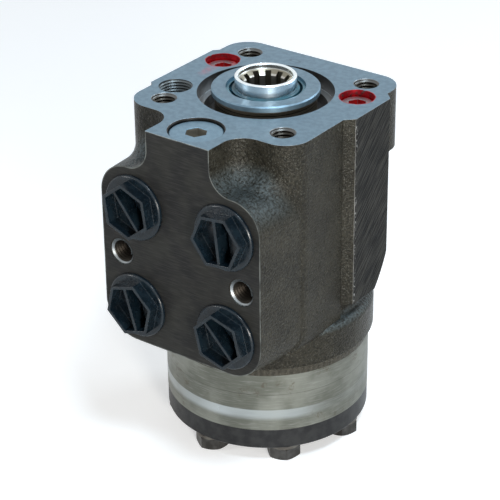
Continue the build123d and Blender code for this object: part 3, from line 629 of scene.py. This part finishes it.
    def face_edge(self, s: Shader) -> Field:
        """Thin line along the outline of the port face, round its shoulders and the tab.

        Args:
            s: the housing's shader.

        Returns:
            A mask that is 1 on the line.
        """
        ax = abs(s.x)
        cx, cz, cr = self.cove
        turn = s.choose(s.z.over(self.block_mid), self.foot_round, self.shoulder_round)
        across = (ax - self.port_face_half + turn).either(0.0)
        up = (abs(s.z - self.block_mid) - self.block_half + turn).either(0.0)
        block = turn - s.span(across, up)
        neck = s.choose(s.z.over(cz), s.span(ax - cx, s.z - cz) - cr, self.tab_half - ax)
        tab = ax.under(cx).both(s.z.over(cz - 3 * cr))
        line = s.choose(tab, block, neck).under(self.port.edge_width, 0.3)
        return line.either(s.z.over(-0.4, 0.2))

    def lay_pads(self, s: Shader, coat: Coat, mask: Field) -> Coat:
        """The dark pads with slanting milling lines, and the paler step in front of each, partly
        painted light.

        Args:
            s: the housing's shader.
            coat: the finish below.
            mask: where the pads are.

        Returns:
            The finish with pads and steps on it.
        """
        pad = self.pad
        near, far = self.step_x
        right = abs(s.y - self.step_y).under(0.25).both(s.x.band(near, far))
        left = abs(s.y - self.left_step_y).under(0.25).both(s.x.under(-near))
        step = right.either(left).both(s.z.over(self.step_foot))
        # Paler step, partly cut metal and partly painted light from the front.
        upright = s.noise(0.7, 3.0, s.vector(s.x, s.y, s.z / 9)).ramp(0.34, 0.66)
        step_colour = s.blend(upright, pad.step_dark, pad.step_light)
        coat = coat.covered(step, step_colour, pad.step_roughness)
        skin = s.blend(self.mill_lines(s).ramp(0.36, 0.66), pad.dark, pad.light)
        front = s.choose(s.x.over(0.0), self.left_step_y, self.step_y)
        # Bright specks along the pad's front edge: partly chips, partly painted glints.
        chip_and_glint = s.noise(0.9, 2.0).over(0.60, 0.06).both((s.y - front).under(pad.chip_width, 0.6))
        skin = s.blend(chip_and_glint * 0.8, skin, pad.chip_and_glint)
        return coat.covered(mask, skin, pad.roughness)

    def mill_lines(self, s: Shader) -> Field:
        """Slanting marks that a milling cutter leaves on the pads.

        Args:
            s: the housing's shader.

        Returns:
            A value about one half.
        """
        across = (s.z - s.y) * math.sqrt(0.5)
        along = (s.z + s.y) * math.sqrt(0.5)
        return s.noise(self.pad.line, 2.0, s.vector(across, along / self.pad.line_length, 0.0))

    def lay_top(self, s: Shader, coat: Coat, mask: Field) -> Coat:
        """The mounting face and the spigot, blue grey from a painted sky reflection, with bright
        edges that are partly chipped metal and partly painted highlight.

        Args:
            s: the housing's shader.
            coat: the finish below.
            mask: where the milled face is.

        Returns:
            The finish with the milled face on it.
        """
        milled = self.milled
        skin = s.mottle(milled.blot, 4.0, (0.36, 0.64), milled.dark, milled.light)
        grain = s.noise(milled.grain, 2.0).ramp(0.3, 0.7)
        skin = s.blend(grain * 0.18, skin, milled.dust)
        mark_x, mark_y = self.stamp
        mark = s.span((s.x - mark_x) / self.stamp_stretch, s.y - mark_y)
        skin = s.blend(mark.band(0.8, 1.3, 0.3) * 0.35, skin, milled.stamp)
        # Pale rim just below the face, partly chipped metal and partly painted highlight.
        below = s.z.under(-0.02, 0.02)
        skin = s.blend(below * s.noise(0.8, 2.0).over(0.42, 0.2), skin, milled.edge)
        return coat.covered(mask, skin, milled.roughness)

    def lay_recess(self, s: Shader, coat: Coat, mask: Field) -> Coat:
        """Turned iron in the recess, its up-facing ledge painted pale as a reflection, bronze
        brown on the spigot's neck.

        Args:
            s: the housing's shader.
            coat: the finish below.
            mask: where the recess is.

        Returns:
            The finish with the recess on it.
        """
        turned = self.turned
        skin = s.blend(s.noise(3.0, 3.0), turned.dark, turned.light)
        ledge_z, ledge_half, ledge_r = self.ledge
        # Painted reflection: the up-facing ledge is painted pale blue grey.
        ledge = s.z.band(ledge_z - ledge_half, ledge_z + ledge_half)
        skin = s.blend(ledge.both(s.reach().over(ledge_r)), skin, turned.ledge)
        (upper_z, upper_half), (lower_z, lower_half) = self.neck_grooves
        upper = abs(s.z - upper_z).under(upper_half)
        grooves = upper.either(abs(s.z - lower_z).under(lower_half))
        neck = s.blend(grooves, turned.neck, turned.groove)
        skin = s.blend(s.reach().under(self.neck_r), skin, neck)
        return coat.covered(mask, skin, turned.roughness)

    def lay_holes(self, s: Shader, coat: Coat, mask: Field) -> Coat:
        """Chamfers bright, partly bare metal and partly a painted highlight, and brown walls that
        painted shade darkens with depth.

        Args:
            s: the housing's shader.
            coat: the finish below.
            mask: where the walls of the holes are.

        Returns:
            The finish with the holes in it.
        """
        hole = self.hole
        front_y, front_z = self.front_hole
        front = s.y.under(front_y).both(s.z.under(front_z))
        inward = s.choose(front, 0.0 - s.z, s.y - Layout.port_face_y)
        # Painted shade that darkens the walls with depth; the port face holes get more of it
        # below.
        skin = s.blend(inward.ramp(0.5, hole.depth), hole.rim, hole.painted_depth_shade)
        skin = s.blend(front * 0.75, skin, hole.painted_depth_shade)
        # Bright chamfer: bare metal, with a stronger painted highlight on the port face holes.
        skin = s.blend(inward.under(1.1, 0.3) * (0.35 + front * 0.65), skin, hole.chamfer)
        relief = s.reach(*Layout.relief).under(self.relief_r)
        # Painted shade deep in the relief valve's bore.
        skin = s.blend(relief * 0.92, skin, hole.painted_depth_shade)
        auxiliary = s.reach(*Layout.auxiliary).under(self.auxiliary_r)
        # Painted paler reflection in the auxiliary hole.
        skin = s.blend(auxiliary * 0.7, skin, hole.painted_reflection)
        return coat.covered(mask, skin, hole.roughness)

    def painted(self, s: Shader, colour: Field) -> Field:
        """Red paint on the walls over the shock valve plugs, and its smear on the left.

        Args:
            s: the housing's shader.
            colour: the colour below.

        Returns:
            The colour with the paint on it.
        """
        paint = self.paint
        shock_x, shock_y = Layout.shock
        reach = s.span(abs(s.x) - shock_x, s.y - shock_y)
        wobble = s.noise(3.0, 2.0) - 0.5
        ring = (reach + wobble * 0.7).under(self.shock_r + 0.2, 0.2)
        ring = ring.both(s.z.band(paint.foot, 0.05))
        worn = s.noise(2.6, 4.0).ramp(0.32, 0.46)
        red = s.blend(s.noise(1.3, 2.0), paint.dark, paint.light)
        colour = s.blend(ring * worn, colour, red)
        mx, my = self.smear
        way_x, way_y = self.smear_way
        long, wide = self.smear_size
        along = (s.x - mx) * way_x + (s.y - my) * way_y
        across = (s.y - my) * way_x - (s.x - mx) * way_y
        drop = s.span(along / long, (across + wobble * 2.4) / wide)
        thin = s.noise(1.8, 3.0).ramp(0.30, 0.62, 0.15, 0.50)
        smear = drop.under(0.8, 1.0).both(s.z.over(-0.1)) * thin
        return s.blend(smear, colour, paint.smear)

    def relief_normal(self, s: Shader, machined: Field, pads: Field) -> Field:
        """Grain of the cast skin, and fine tool marks where it was machined.

        Args:
            s: the housing's shader.
            machined: where the casting was machined.
            pads: where the milled pads are.

        Returns:
            The normal.
        """
        rough = 1.0 - machined
        grain = s.noise(self.iron.grain, 4.0) * rough
        wave = s.noise(self.iron.wave, 2.0) * rough
        normal = s.bump(wave, self.iron.wave_depth)
        normal = s.bump(grain, self.iron.grain_depth, normal)
        normal = s.bump(self.mill_lines(s) * pads, self.pad.line_depth, normal)
        tool = s.noise(self.milled.tool, 2.0) * machined
        return s.bump(tool, self.milled.tool_depth, normal)


@dataclass(frozen=True)
class Steel:
    """Turned or ground steel, with a paler brown socket where it has one."""

    name: str
    light: Colour
    dark: Colour
    roughness: float = 0.3
    metallic: float = 1.0
    blot: float = 4.0
    socket: tuple[float, float, float, float] | None = None
    socket_tone: Colour = (0.30, 0.28, 0.24)

    def build(self) -> bpy.types.Material:
        """Builds the material.

        Returns:
            The material.
        """
        s = Shader(self.name)
        colour = s.mottle(self.blot, 4.0, (0.34, 0.66), self.dark, self.light)
        if self.socket:
            x, y, radius, face = self.socket
            inside = s.reach(x, y).under(radius, 0.1).both(s.z.under(face, 0.1))
            # The socket below its face gets one paler brown colour.
            colour = s.blend(inside, colour, self.socket_tone)
        fine = s.noise(0.4, 3.0)
        rough = fine.ramp(0.25, 0.75, self.roughness - 0.06, self.roughness + 0.08)
        return s.finish(
            Base_Color=colour, Roughness=rough, Metallic=self.metallic, Normal=s.bump(fine, 0.015)
        )


@dataclass(frozen=True)
class HubFinish:
    """Polished hub of the spool, with a brown spline that painted shade darkens deeper in the
    bore.
    """

    polished: Colour = (0.86, 0.93, 0.96)
    brushed: Colour = (0.78, 0.87, 0.91)
    tooth: Colour = (0.46, 0.45, 0.41)
    gap: Colour = (0.22, 0.205, 0.16)
    # Painted shade that darkens the spline deeper down the bore.
    bore_shade: Colour = (0.04, 0.03, 0.02)
    mouth_r: float = 11.2
    mouth_z: float = 5.5
    tooth_r: float = 9.3
    bore_shade_z: float = -9.0
    roughness: float = 0.25
    spline_roughness: float = 0.36

    def build(self) -> bpy.types.Material:
        """Builds the hub's material.

        Returns:
            The material.
        """
        s = Shader("hub_steel")
        reach = s.reach()
        polished = s.blend(s.noise(3.0, 3.0), self.brushed, self.polished)
        inside = reach.under(self.mouth_r, 0.1).both(s.z.under(self.mouth_z, 1.2))
        spline = s.blend(reach.under(self.tooth_r, 0.3), self.gap, self.tooth)
        # Painted shade, darker deeper down the bore.
        spline = s.blend(s.z.under(self.bore_shade_z, 12.0), spline, self.bore_shade)
        colour = s.blend(inside, polished, spline)
        rough = s.choose(inside, self.roughness, self.spline_roughness) + s.noise(1.5, 2.0) * 0.03
        turned = s.noise(0.4, 1.0, s.vector(reach, s.z, 0.0))
        normal = s.bump(turned * (1.0 - inside), 0.002)
        return s.finish(Base_Color=colour, Roughness=rough, Metallic=1.0, Normal=normal)


@dataclass(frozen=True)
class RingFinish:
    """Ground ring and plate of the gear set, with a polished band that carries a painted
    reflection, and rust smudges.
    """

    steel: Colour = (0.130, 0.134, 0.112)
    pale: Colour = (0.215, 0.220, 0.190)
    streak: Colour = (0.36, 0.36, 0.34)
    rust: Colour = (0.085, 0.062, 0.038)
    # The band's bright colour is polish with a painted reflection on it.
    polish_and_glare: Colour = (0.52, 0.56, 0.57)
    dirt: Colour = (0.03, 0.028, 0.02)
    band_top: float = -125.3
    band_foot: float = -129.5
    # The band's painted reflection fades along this way.
    fade_way: Pair = (0.80, 0.60)
    fade: Pair = (4.0, 27.0)
    joint: float = -117.8
    roughness: float = 0.42
    band_roughness: float = 0.27

    def build(self) -> bpy.types.Material:
        """Builds the material.

        Returns:
            The material.
        """
        s = Shader("ring_steel")
        colour = s.mottle(16.0, 4.0, (0.35, 0.65), self.steel, self.pale)
        streaks = s.noise(0.5, 2.0, s.vector(s.x / 12, s.y / 12, s.z))
        colour = s.blend(streaks.ramp(0.45, 0.8) * 0.3, colour, self.streak)
        smudge = s.noise(9.0, 3.0).ramp(0.58, 0.72) * s.noise(0.9, 3.0).ramp(0.40, 0.62)
        colour = s.blend(smudge * 0.6, colour, self.rust)
        polish_and_glare = self.band_polish_and_glare(s)
        # Polished band with a painted reflection.
        colour = s.blend(polish_and_glare * 0.8, colour, self.polish_and_glare)
        line = abs(s.z - self.joint).under(0.14, 0.2)
        colour = s.blend(line * 0.4, colour, self.dirt)
        rough = s.choose(polish_and_glare, self.roughness, self.band_roughness)
        rough = rough + s.noise(1.5, 3.0) * 0.10 - 0.04
        normal = s.bump(streaks, 0.02)
        return s.finish(Base_Color=colour, Roughness=rough, Metallic=0.9, Normal=normal)

    def band_polish_and_glare(self, s: Shader) -> Field:
        """How polished the band is and how strong its painted reflection, less towards its right
        end.

        Args:
            s: the ring's shader.

        Returns:
            A mask from 0 to 1.
        """
        way_x, way_y = self.fade_way
        start, end = self.fade
        band = s.z.under(self.band_top, 0.4).both(s.z.over(self.band_foot, 3.0))
        fade = (s.x * way_x + s.y * way_y).ramp(start, end, 1.0, 0.10)
        return band * s.noise(22.0, 1.0).ramp(0.35, 0.6, 0.65, 1.0) * fade


@dataclass(frozen=True)
class Plastic:
    """Glossy moulded plastic."""

    name: str
    colour: Colour
    pale: Colour
    roughness: float = 0.24
    gloss: float = 0.34
    scuffed: Colour = (0.018, 0.024, 0.030)

    def build(self) -> bpy.types.Material:
        """Builds the material.

        Returns:
            The material.
        """
        s = Shader(self.name)
        cloud = s.noise(5.0, 3.0)
        colour = s.blend(cloud.ramp(0.35, 0.7), self.colour, self.pale)
        scuff = s.noise(1.6, 4.0).over(0.62, 0.08)
        colour = s.blend(scuff * 0.5, colour, self.scuffed)
        rough = cloud.ramp(0.3, 0.7, self.roughness - 0.05, self.roughness + 0.08)
        return s.finish(
            Base_Color=colour,
            Roughness=rough,
            Metallic=0.0,
            Normal=s.bump(s.noise(0.8, 3.0), 0.025),
            Specular_IOR_Level=self.gloss,
        )


@dataclass(frozen=True)
class PaintedPlug:
    """Grey steel plug whose socket and rim are painted red."""

    light: Colour = (0.42, 0.46, 0.48)
    dark: Colour = (0.22, 0.26, 0.28)
    smear: Colour = (0.36, 0.04, 0.05)
    red_light: Colour = (0.55, 0.02, 0.02)
    red_dark: Colour = (0.34, 0.008, 0.010)
    socket_r: float = 4.05
    socket_z: float = -2.7
    rim_r: float = 6.2
    roughness: float = 0.38
    paint_roughness: float = 0.22

    def build(self) -> bpy.types.Material:
        """Builds the material.

        Returns:
            The material.
        """
        s = Shader("red_plug")
        x, y = Layout.shock
        reach = s.span(abs(s.x) - x, s.y - y)
        steel = s.blend(s.noise(2.0, 3.0), self.dark, self.light)
        steel = s.blend(s.noise(2.2, 3.0).over(0.58, 0.12) * 0.6, steel, self.smear)
        paint = reach.under(self.socket_r, 0.3).both(s.z.under(self.socket_z, 0.1))
        red = s.blend(s.noise(1.2, 2.0), self.red_dark, self.red_light)
        colour = s.blend(paint.either(reach.over(self.rim_r, 0.3)), steel, red)
        return s.finish(
            Base_Color=colour,
            Roughness=s.choose(paint, self.roughness, self.paint_roughness),
            Metallic=0.9 - paint * 0.9,
            Normal=s.bump(s.noise(0.5, 2.0), 0.02),
        )


@dataclass(frozen=True)
class Finishes:
    """Every material of the unit, by its slot."""

    made: dict[str, bpy.types.Material]

    @classmethod
    def build(cls) -> "Finishes":
        """Builds all materials.

        Returns:
            The materials by their slots.
        """
        plain = (
            Steel("ground_steel", (0.50, 0.51, 0.52), (0.38, 0.39, 0.40)),
            Steel("spring_steel", (0.22, 0.22, 0.23), (0.14, 0.14, 0.15)),
            Steel("seal_metal", (0.12, 0.26, 0.33), (0.06, 0.15, 0.20)),
            Steel("black_cover", (0.030, 0.030, 0.030), (0.016, 0.016, 0.017), 0.42, 0.6),
            Steel(
                "machined_plug", (0.20, 0.32, 0.41), (0.17, 0.275, 0.36), 0.42, 0.8, 2.0,
                socket=(*Layout.relief, 5.0, -1.4),
            ),
            Steel("screw_steel", (0.085, 0.082, 0.078), (0.045, 0.043, 0.04), 0.38, 0.8),
            Steel("washer_metal", (0.16, 0.15, 0.13), (0.10, 0.09, 0.08), 0.4, 0.9),
            Plastic("seal_rubber", (0.012, 0.075, 0.11), (0.02, 0.12, 0.16), 0.4),
            Plastic("plug_plastic", (0.003, 0.007, 0.011), (0.006, 0.013, 0.019)),
        )
        made = {finish.name: finish.build() for finish in plain}
        made["cast_housing"] = HousingFinish().build()
        made["hub_steel"] = HubFinish().build()
        made["ring_steel"] = RingFinish().build()
        made["red_plug"] = PaintedPlug().build()
        return cls(made)

    def dress(self, piece: bpy.types.Object, slot: str) -> None:
        """Puts a slot's material on all of a piece.

        Args:
            piece: the piece.
            slot: the material slot's name in the record.
        """
        material = self.made[slot]
        if not piece.material_slots:
            piece.data.materials.append(material)
        for place in piece.material_slots:
            place.material = material


# --------------------------------------------------------------------------
# Modelling helpers
# --------------------------------------------------------------------------
def deselect() -> None:
    """Leaves object mode with nothing selected."""
    if bpy.context.object and bpy.context.object.mode != "OBJECT":
        bpy.ops.object.mode_set(mode="OBJECT")
    bpy.ops.object.select_all(action="DESELECT")


def activate(piece: bpy.types.Object) -> None:
    """Makes one piece the only selected and the active one."""
    deselect()
    piece.select_set(True)
    bpy.context.view_layer.objects.active = piece


def settle(piece: bpy.types.Object) -> None:
    """Puts a piece's place into its mesh and its object at the origin."""
    activate(piece)
    bpy.ops.object.transform_apply(location=True, rotation=True, scale=True)


def apply_modifiers(piece: bpy.types.Object) -> None:
    """Applies all modifiers of a piece."""
    activate(piece)
    for modifier in list(piece.modifiers):
        bpy.ops.object.modifier_apply(modifier=modifier.name)


@dataclass(frozen=True)
class EasedPart:
    """A CAD piece taken over with small rounded edges that catch the light."""

    node: str
    body: str
    slot: str
    width: float = 0.25
    segments: int = 2
    angle: float = 32.0
    merge: float = 0.002
    flat_angle: float = 0.5

    def build(self, finishes: Finishes) -> bpy.types.Object:
        """Copies the piece, merges it and rounds its edges.

        Args:
            finishes: the materials.

        Returns:
            The new piece.
        """
        piece = self.copied()
        self.merge_faces(piece)
        bevel = piece.modifiers.new("ease", "BEVEL")
        bevel.width = self.width * MM
        bevel.segments = self.segments
        bevel.limit_method = "ANGLE"
        bevel.angle_limit = math.radians(self.angle)
        bevel.harden_normals = True
        bevel.use_clamp_overlap = True
        bpy.ops.object.shade_smooth()
        apply_modifiers(piece)
        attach(piece, self.body)
        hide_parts(self.node)
        finishes.dress(piece, self.slot)
        log.info("%s: %d faces", piece.name, len(piece.data.polygons))
        return piece

    def copied(self) -> bpy.types.Object:
        """Copies the CAD piece with its own mesh and without the frame's marks.

        Returns:
            The copy, linked to the scene.
        """
        source = frame["nodes"][self.node]
        piece = source.copy()
        piece.data = source.data.copy()
        piece.name = self.node + "_eased"
        for key in [key for key in piece.keys() if key.startswith("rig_")]:
            del piece[key]
        piece.parent = None
        bpy.context.scene.collection.objects.link(piece)
        return piece

    def merge_faces(self, piece: bpy.types.Object) -> None:
        """Joins the CAD mesh's triangles into whole faces.

        Args:
            piece: the copy, which is left active.
        """
        activate(piece)
        bpy.ops.object.mode_set(mode="EDIT")
        bpy.ops.mesh.select_all(action="SELECT")
        bpy.ops.mesh.remove_doubles(threshold=self.merge * MM)
        bpy.ops.mesh.dissolve_limited(angle_limit=math.radians(self.flat_angle))
        bpy.ops.object.mode_set(mode="OBJECT")
        if piece.data.has_custom_normals:
            bpy.ops.mesh.customdata_custom_splitnormals_clear()


@dataclass(frozen=True)
class ThreadTurns:
    """The visible turns of an internal thread, as one helical ridge."""

    name: str
    mouth: Point
    way: HoleWay
    radius: float = 5.0
    ridge: float = 0.62
    pitch: float = 1.5
    turns: int = 8
    start: float = 0.7
    steps: int = 40
    half_share: float = 0.44
    sink: float = 0.05
    merge: float = 0.001

    def build(self, finishes: Finishes) -> bpy.types.Object:
        """Sweeps a three cornered ridge down the hole's wall.

        Args:
            finishes: the materials.

        Returns:
            The new piece.
        """
        piece = self.section()
        screw = piece.modifiers.new("turns", "SCREW")
        screw.axis = "Z"
        screw.angle = math.radians(360)
        screw.screw_offset = -self.pitch * MM
        screw.iterations = self.turns
        screw.steps = self.steps
        screw.render_steps = self.steps
        screw.use_smooth_shade = False
        apply_modifiers(piece)
        self.clean(piece)
        self.seat(piece)
        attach(piece, "housing")
        finishes.dress(piece, "cast_housing")
        log.info("%s: %d faces", piece.name, len(piece.data.polygons))
        return piece

    def section(self) -> bpy.types.Object:
        """Makes the ridge's section: two corners in the wall, one inside the hole.

        Returns:
            The section as one triangle.
        """
        deselect()
        half = self.pitch * self.half_share * MM
        bpy.ops.mesh.primitive_circle_add(
            vertices=3, radius=half, fill_type="NGON",
            location=(self.radius * MM, 0, 0), rotation=(math.radians(90), 0, 0),
        )
        piece = bpy.context.object
        piece.name = self.name
        settle(piece)
        crest, lower, upper = sorted(piece.data.vertices, key=lambda corner: corner.co.x)
        crest.co = ((self.radius - self.ridge) * MM, 0, 0)
        upper.co = ((self.radius + self.sink) * MM, 0, half)
        lower.co = ((self.radius + self.sink) * MM, 0, -half)
        return piece

    def clean(self, piece: bpy.types.Object) -> None:
        """Merges the turns, closes the ends and turns all faces outward.

        Args:
            piece: the swept ridge.
        """
        activate(piece)
        bpy.ops.object.mode_set(mode="EDIT")
        bpy.ops.mesh.select_all(action="SELECT")
        bpy.ops.mesh.remove_doubles(threshold=self.merge * MM)
        bpy.ops.mesh.select_all(action="DESELECT")
        bpy.ops.mesh.select_non_manifold(
            extend=False, use_wire=False, use_multi_face=False,
            use_non_contiguous=False, use_verts=False,
        )
        bpy.ops.mesh.fill_holes(sides=4)
        bpy.ops.mesh.select_all(action="SELECT")
        bpy.ops.mesh.normals_make_consistent(inside=False)
        bpy.ops.object.mode_set(mode="OBJECT")

    def seat(self, piece: bpy.types.Object) -> None:
        """Turns the ridge into its hole and puts it at the mouth.

        Args:
            piece: the cleaned ridge.
        """
        turn = Matrix.Identity(4)
        inward = Vector((0, 0, -self.start * MM))
        if self.way is HoleWay.BACK:
            turn = Matrix.Rotation(math.radians(90), 4, "X")
            inward = Vector((0, self.start * MM, 0))
        place = Matrix.Translation(Vector(self.mouth) * MM + inward)
        piece.matrix_world = place @ turn
        settle(piece)


# --------------------------------------------------------------------------
# Sub-assemblies
# --------------------------------------------------------------------------
class Housing:
    """The casting, with the threads that show in its holes."""

    mount_corners = ((1, -1), (1, 1), (-1, 1), (-1, -1))

    def build(self, finishes: Finishes) -> None:
        """Adds the thread turns and dresses the casting.

        Args:
            finishes: the materials.
        """
        finishes.dress(frame["nodes"]["housing"], "cast_housing")
        for index, (x, y) in enumerate(self.mount_corners):
            mouth = (x * Layout.mount, y * Layout.mount, 0.0)
            ThreadTurns(f"column_thread_{index + 1}", mouth, HoleWay.DOWN).build(finishes)
        ThreadTurns(
            "auxiliary_thread", (*Layout.auxiliary, 0.0), HoleWay.DOWN,
            radius=7.0, ridge=0.5, pitch=1.25, turns=9,
        ).build(finishes)
        bracket_x, bracket_z = Layout.bracket
        for side, x in (("right", bracket_x), ("left", -bracket_x)):
            mouth = (x, Layout.port_face_y, bracket_z)
            ThreadTurns(f"bracket_thread_{side}", mouth, HoleWay.BACK, turns=7).build(finishes)


class Plugs:
    """The four transport plugs, each on its own body."""

    names = ("upper_right", "upper_left", "lower_left", "lower_right")
    ease = 0.22

    def build(self, finishes: Finishes) -> None:
        """Takes the plugs over with rounded edges.

        Args:
            finishes: the materials.
        """
        for name in self.names:
            node = f"port_plug_{name}"
            EasedPart(node, node, "plug_plastic", width=self.ease).build(finishes)


class Rest:
    """Every other piece: the outer steel gets rounded edges, the inner its finish."""

    eased = ("end_cover", "pin_screw", "relief_plug", "shock_plug_right", "shock_plug_left")
    screws = tuple(f"cover_screw_{index}" for index in range(1, 7))
    ease = 0.3

    def build(self, finishes: Finishes) -> None:
        """Eases the outer pieces and dresses every CAD piece that still shows.

        Args:
            finishes: the materials.
        """
        slots = self.slots()
        for name in self.eased + self.screws:
            EasedPart(name, "housing", slots[name], width=self.ease).build(finishes)
        for name, node in frame["nodes"].items():
            if not node.hide_render:
                finishes.dress(node, slots[name])

    @staticmethod
    def slots() -> dict[str, str]:
        """The material slot of each node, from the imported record."""
        return {part["node"]: part["material_slot"] for part in frame["record"]["subparts"]}


# --------------------------------------------------------------------------
# Stage, light and camera
# --------------------------------------------------------------------------
@dataclass(frozen=True)
class Stage:
    """Pale floor and white surroundings."""

    half: float = 3.0
    floor_z: float = -0.1512
    floor_light: Colour = (0.84, 0.84, 0.84)
    floor_dark: Colour = (0.80, 0.80, 0.80)
    floor_blot: float = 120.0
    white: Colour = (1.0, 1.0, 1.0)
    lift: float = 0.46
    mirrored: float = 0.6
    soft_colour: Colour = (0.86, 0.94, 1.0)
    soft_strength: float = 0.18

    def build(self) -> None:
        """Builds the floor and the world."""
        deselect()
        bpy.ops.mesh.primitive_plane_add(size=2 * self.half, location=(0, 0, self.floor_z))
        floor = bpy.context.object
        floor.name = "floor"
        settle(floor)
        floor.data.materials.append(self.floor_material())
        self.build_world()

    def floor_material(self) -> bpy.types.Material:
        """Pale floor that keeps the shadow and is lifted to white where it is seen.

        Returns:
            The material.
        """
        s = Shader("floor")
        colour = s.blend(s.noise(self.floor_blot, 2.0), self.floor_dark, self.floor_light)
        glossy = s.add("LightPath", output="Is Glossy Ray")
        seen = s.add("LightPath", output="Is Camera Ray").either(glossy * self.mirrored)
        return s.finish(
            Base_Color=colour,
            Roughness=0.9,
            Emission_Color=self.white,
            Emission_Strength=seen * self.lift,
        )

    def build_world(self) -> None:
        """Soft light all round, and white where the surroundings are seen or mirrored."""
        world = bpy.data.worlds.new("studio")
        bpy.context.scene.world = world
        world.use_nodes = True
        nodes = Nodes(world.node_tree)
        white = nodes.add("Background", None, {0: nodes.colour(self.white), 1: 1.0})
        soft_sockets = {0: nodes.colour(self.soft_colour), 1: self.soft_strength}
        soft = nodes.add("Background", None, soft_sockets)
        bounced = nodes.add("LightPath", output="Is Diffuse Ray")
        nodes.close("OutputWorld", nodes.add("MixShader", None, {0: bounced, 1: white, 2: soft}))


@dataclass(frozen=True)
class Lamp:
    """One soft box that looks at the unit."""

    name: str
    place: Point
    side: float
    watts: float
    colour: Colour = (1.0, 1.0, 1.0)
    target: Point = (0.0, 0.0, -0.05)

    def build(self) -> None:
        """Adds the lamp."""
        data = bpy.data.lights.new(self.name, "AREA")
        data.shape = "SQUARE"
        data.size = self.side
        data.energy = self.watts
        data.color = self.colour
        lamp = bpy.data.objects.new(self.name, data)
        bpy.context.scene.collection.objects.link(lamp)
        away = Vector(self.place) - Vector(self.target)
        lamp.rotation_euler = away.to_track_quat("Z", "Y").to_euler()
        lamp.location = self.place


LAMPS = (
    Lamp("top", (0.46, -0.27, 0.95), 0.26, 7.0, (0.76, 0.89, 1.0)),
    Lamp("back", (0.42, 0.80, 0.66), 0.35, 3.5, (0.78, 0.90, 1.0)),
    Lamp("left", (-0.66, -0.70, 0.20), 0.20, 3.0),
    Lamp("front", (0.70, -0.56, 0.06), 0.16, 6.6, (1.0, 0.96, 0.90)),
)


@dataclass(frozen=True)
class PhotoCamera:
    """The photograph's camera, in the unit's own frame."""

    azimuth: float = 36.5103
    elevation: float = 27.9785
    roll: float = -0.6074
    distance: float = 794.234
    pixels_per_mm: float = 2.47326
    shift_right: float = 6.4058
    shift_up: float = 64.4147

    def build(self) -> None:
        """Adds the camera and makes it the scene's own."""
        a, e, r = (math.radians(v) for v in (self.azimuth, self.elevation, self.roll))
        back = Vector((math.sin(a) * math.cos(e), -math.cos(a) * math.cos(e), math.sin(e)))
        level = Vector((math.cos(a), math.sin(a), 0.0))
        upright = back.cross(level)
        right = math.cos(r) * level + math.sin(r) * upright
        up = math.cos(r) * upright - math.sin(r) * level
        place = self.distance * back - self.shift_right * right - self.shift_up * up
        data = bpy.data.cameras.new("photo_camera")
        data.sensor_width = SENSOR_WIDTH
        data.lens = self.pixels_per_mm * self.distance / IMAGE_SIDE * SENSOR_WIDTH
        camera = bpy.data.objects.new("photo_camera", data)
        bpy.context.scene.collection.objects.link(camera)
        turn = Matrix((right, up, back)).transposed().to_4x4()
        camera.matrix_world = Matrix.Translation(place * MM) @ turn
        bpy.context.scene.camera = camera


def main() -> None:
    """Builds the unit's looks, the stage and the camera."""
    logging.basicConfig(level=logging.INFO)
    PhotoCamera().build()
    Stage().build()
    for lamp in LAMPS:
        lamp.build()
    bpy.context.scene.view_settings.view_transform = "Standard"
    finishes = Finishes.build()
    Housing().build(finishes)
    Plugs().build(finishes)
    Rest().build(finishes)


if __name__ == "__main__":
    main()
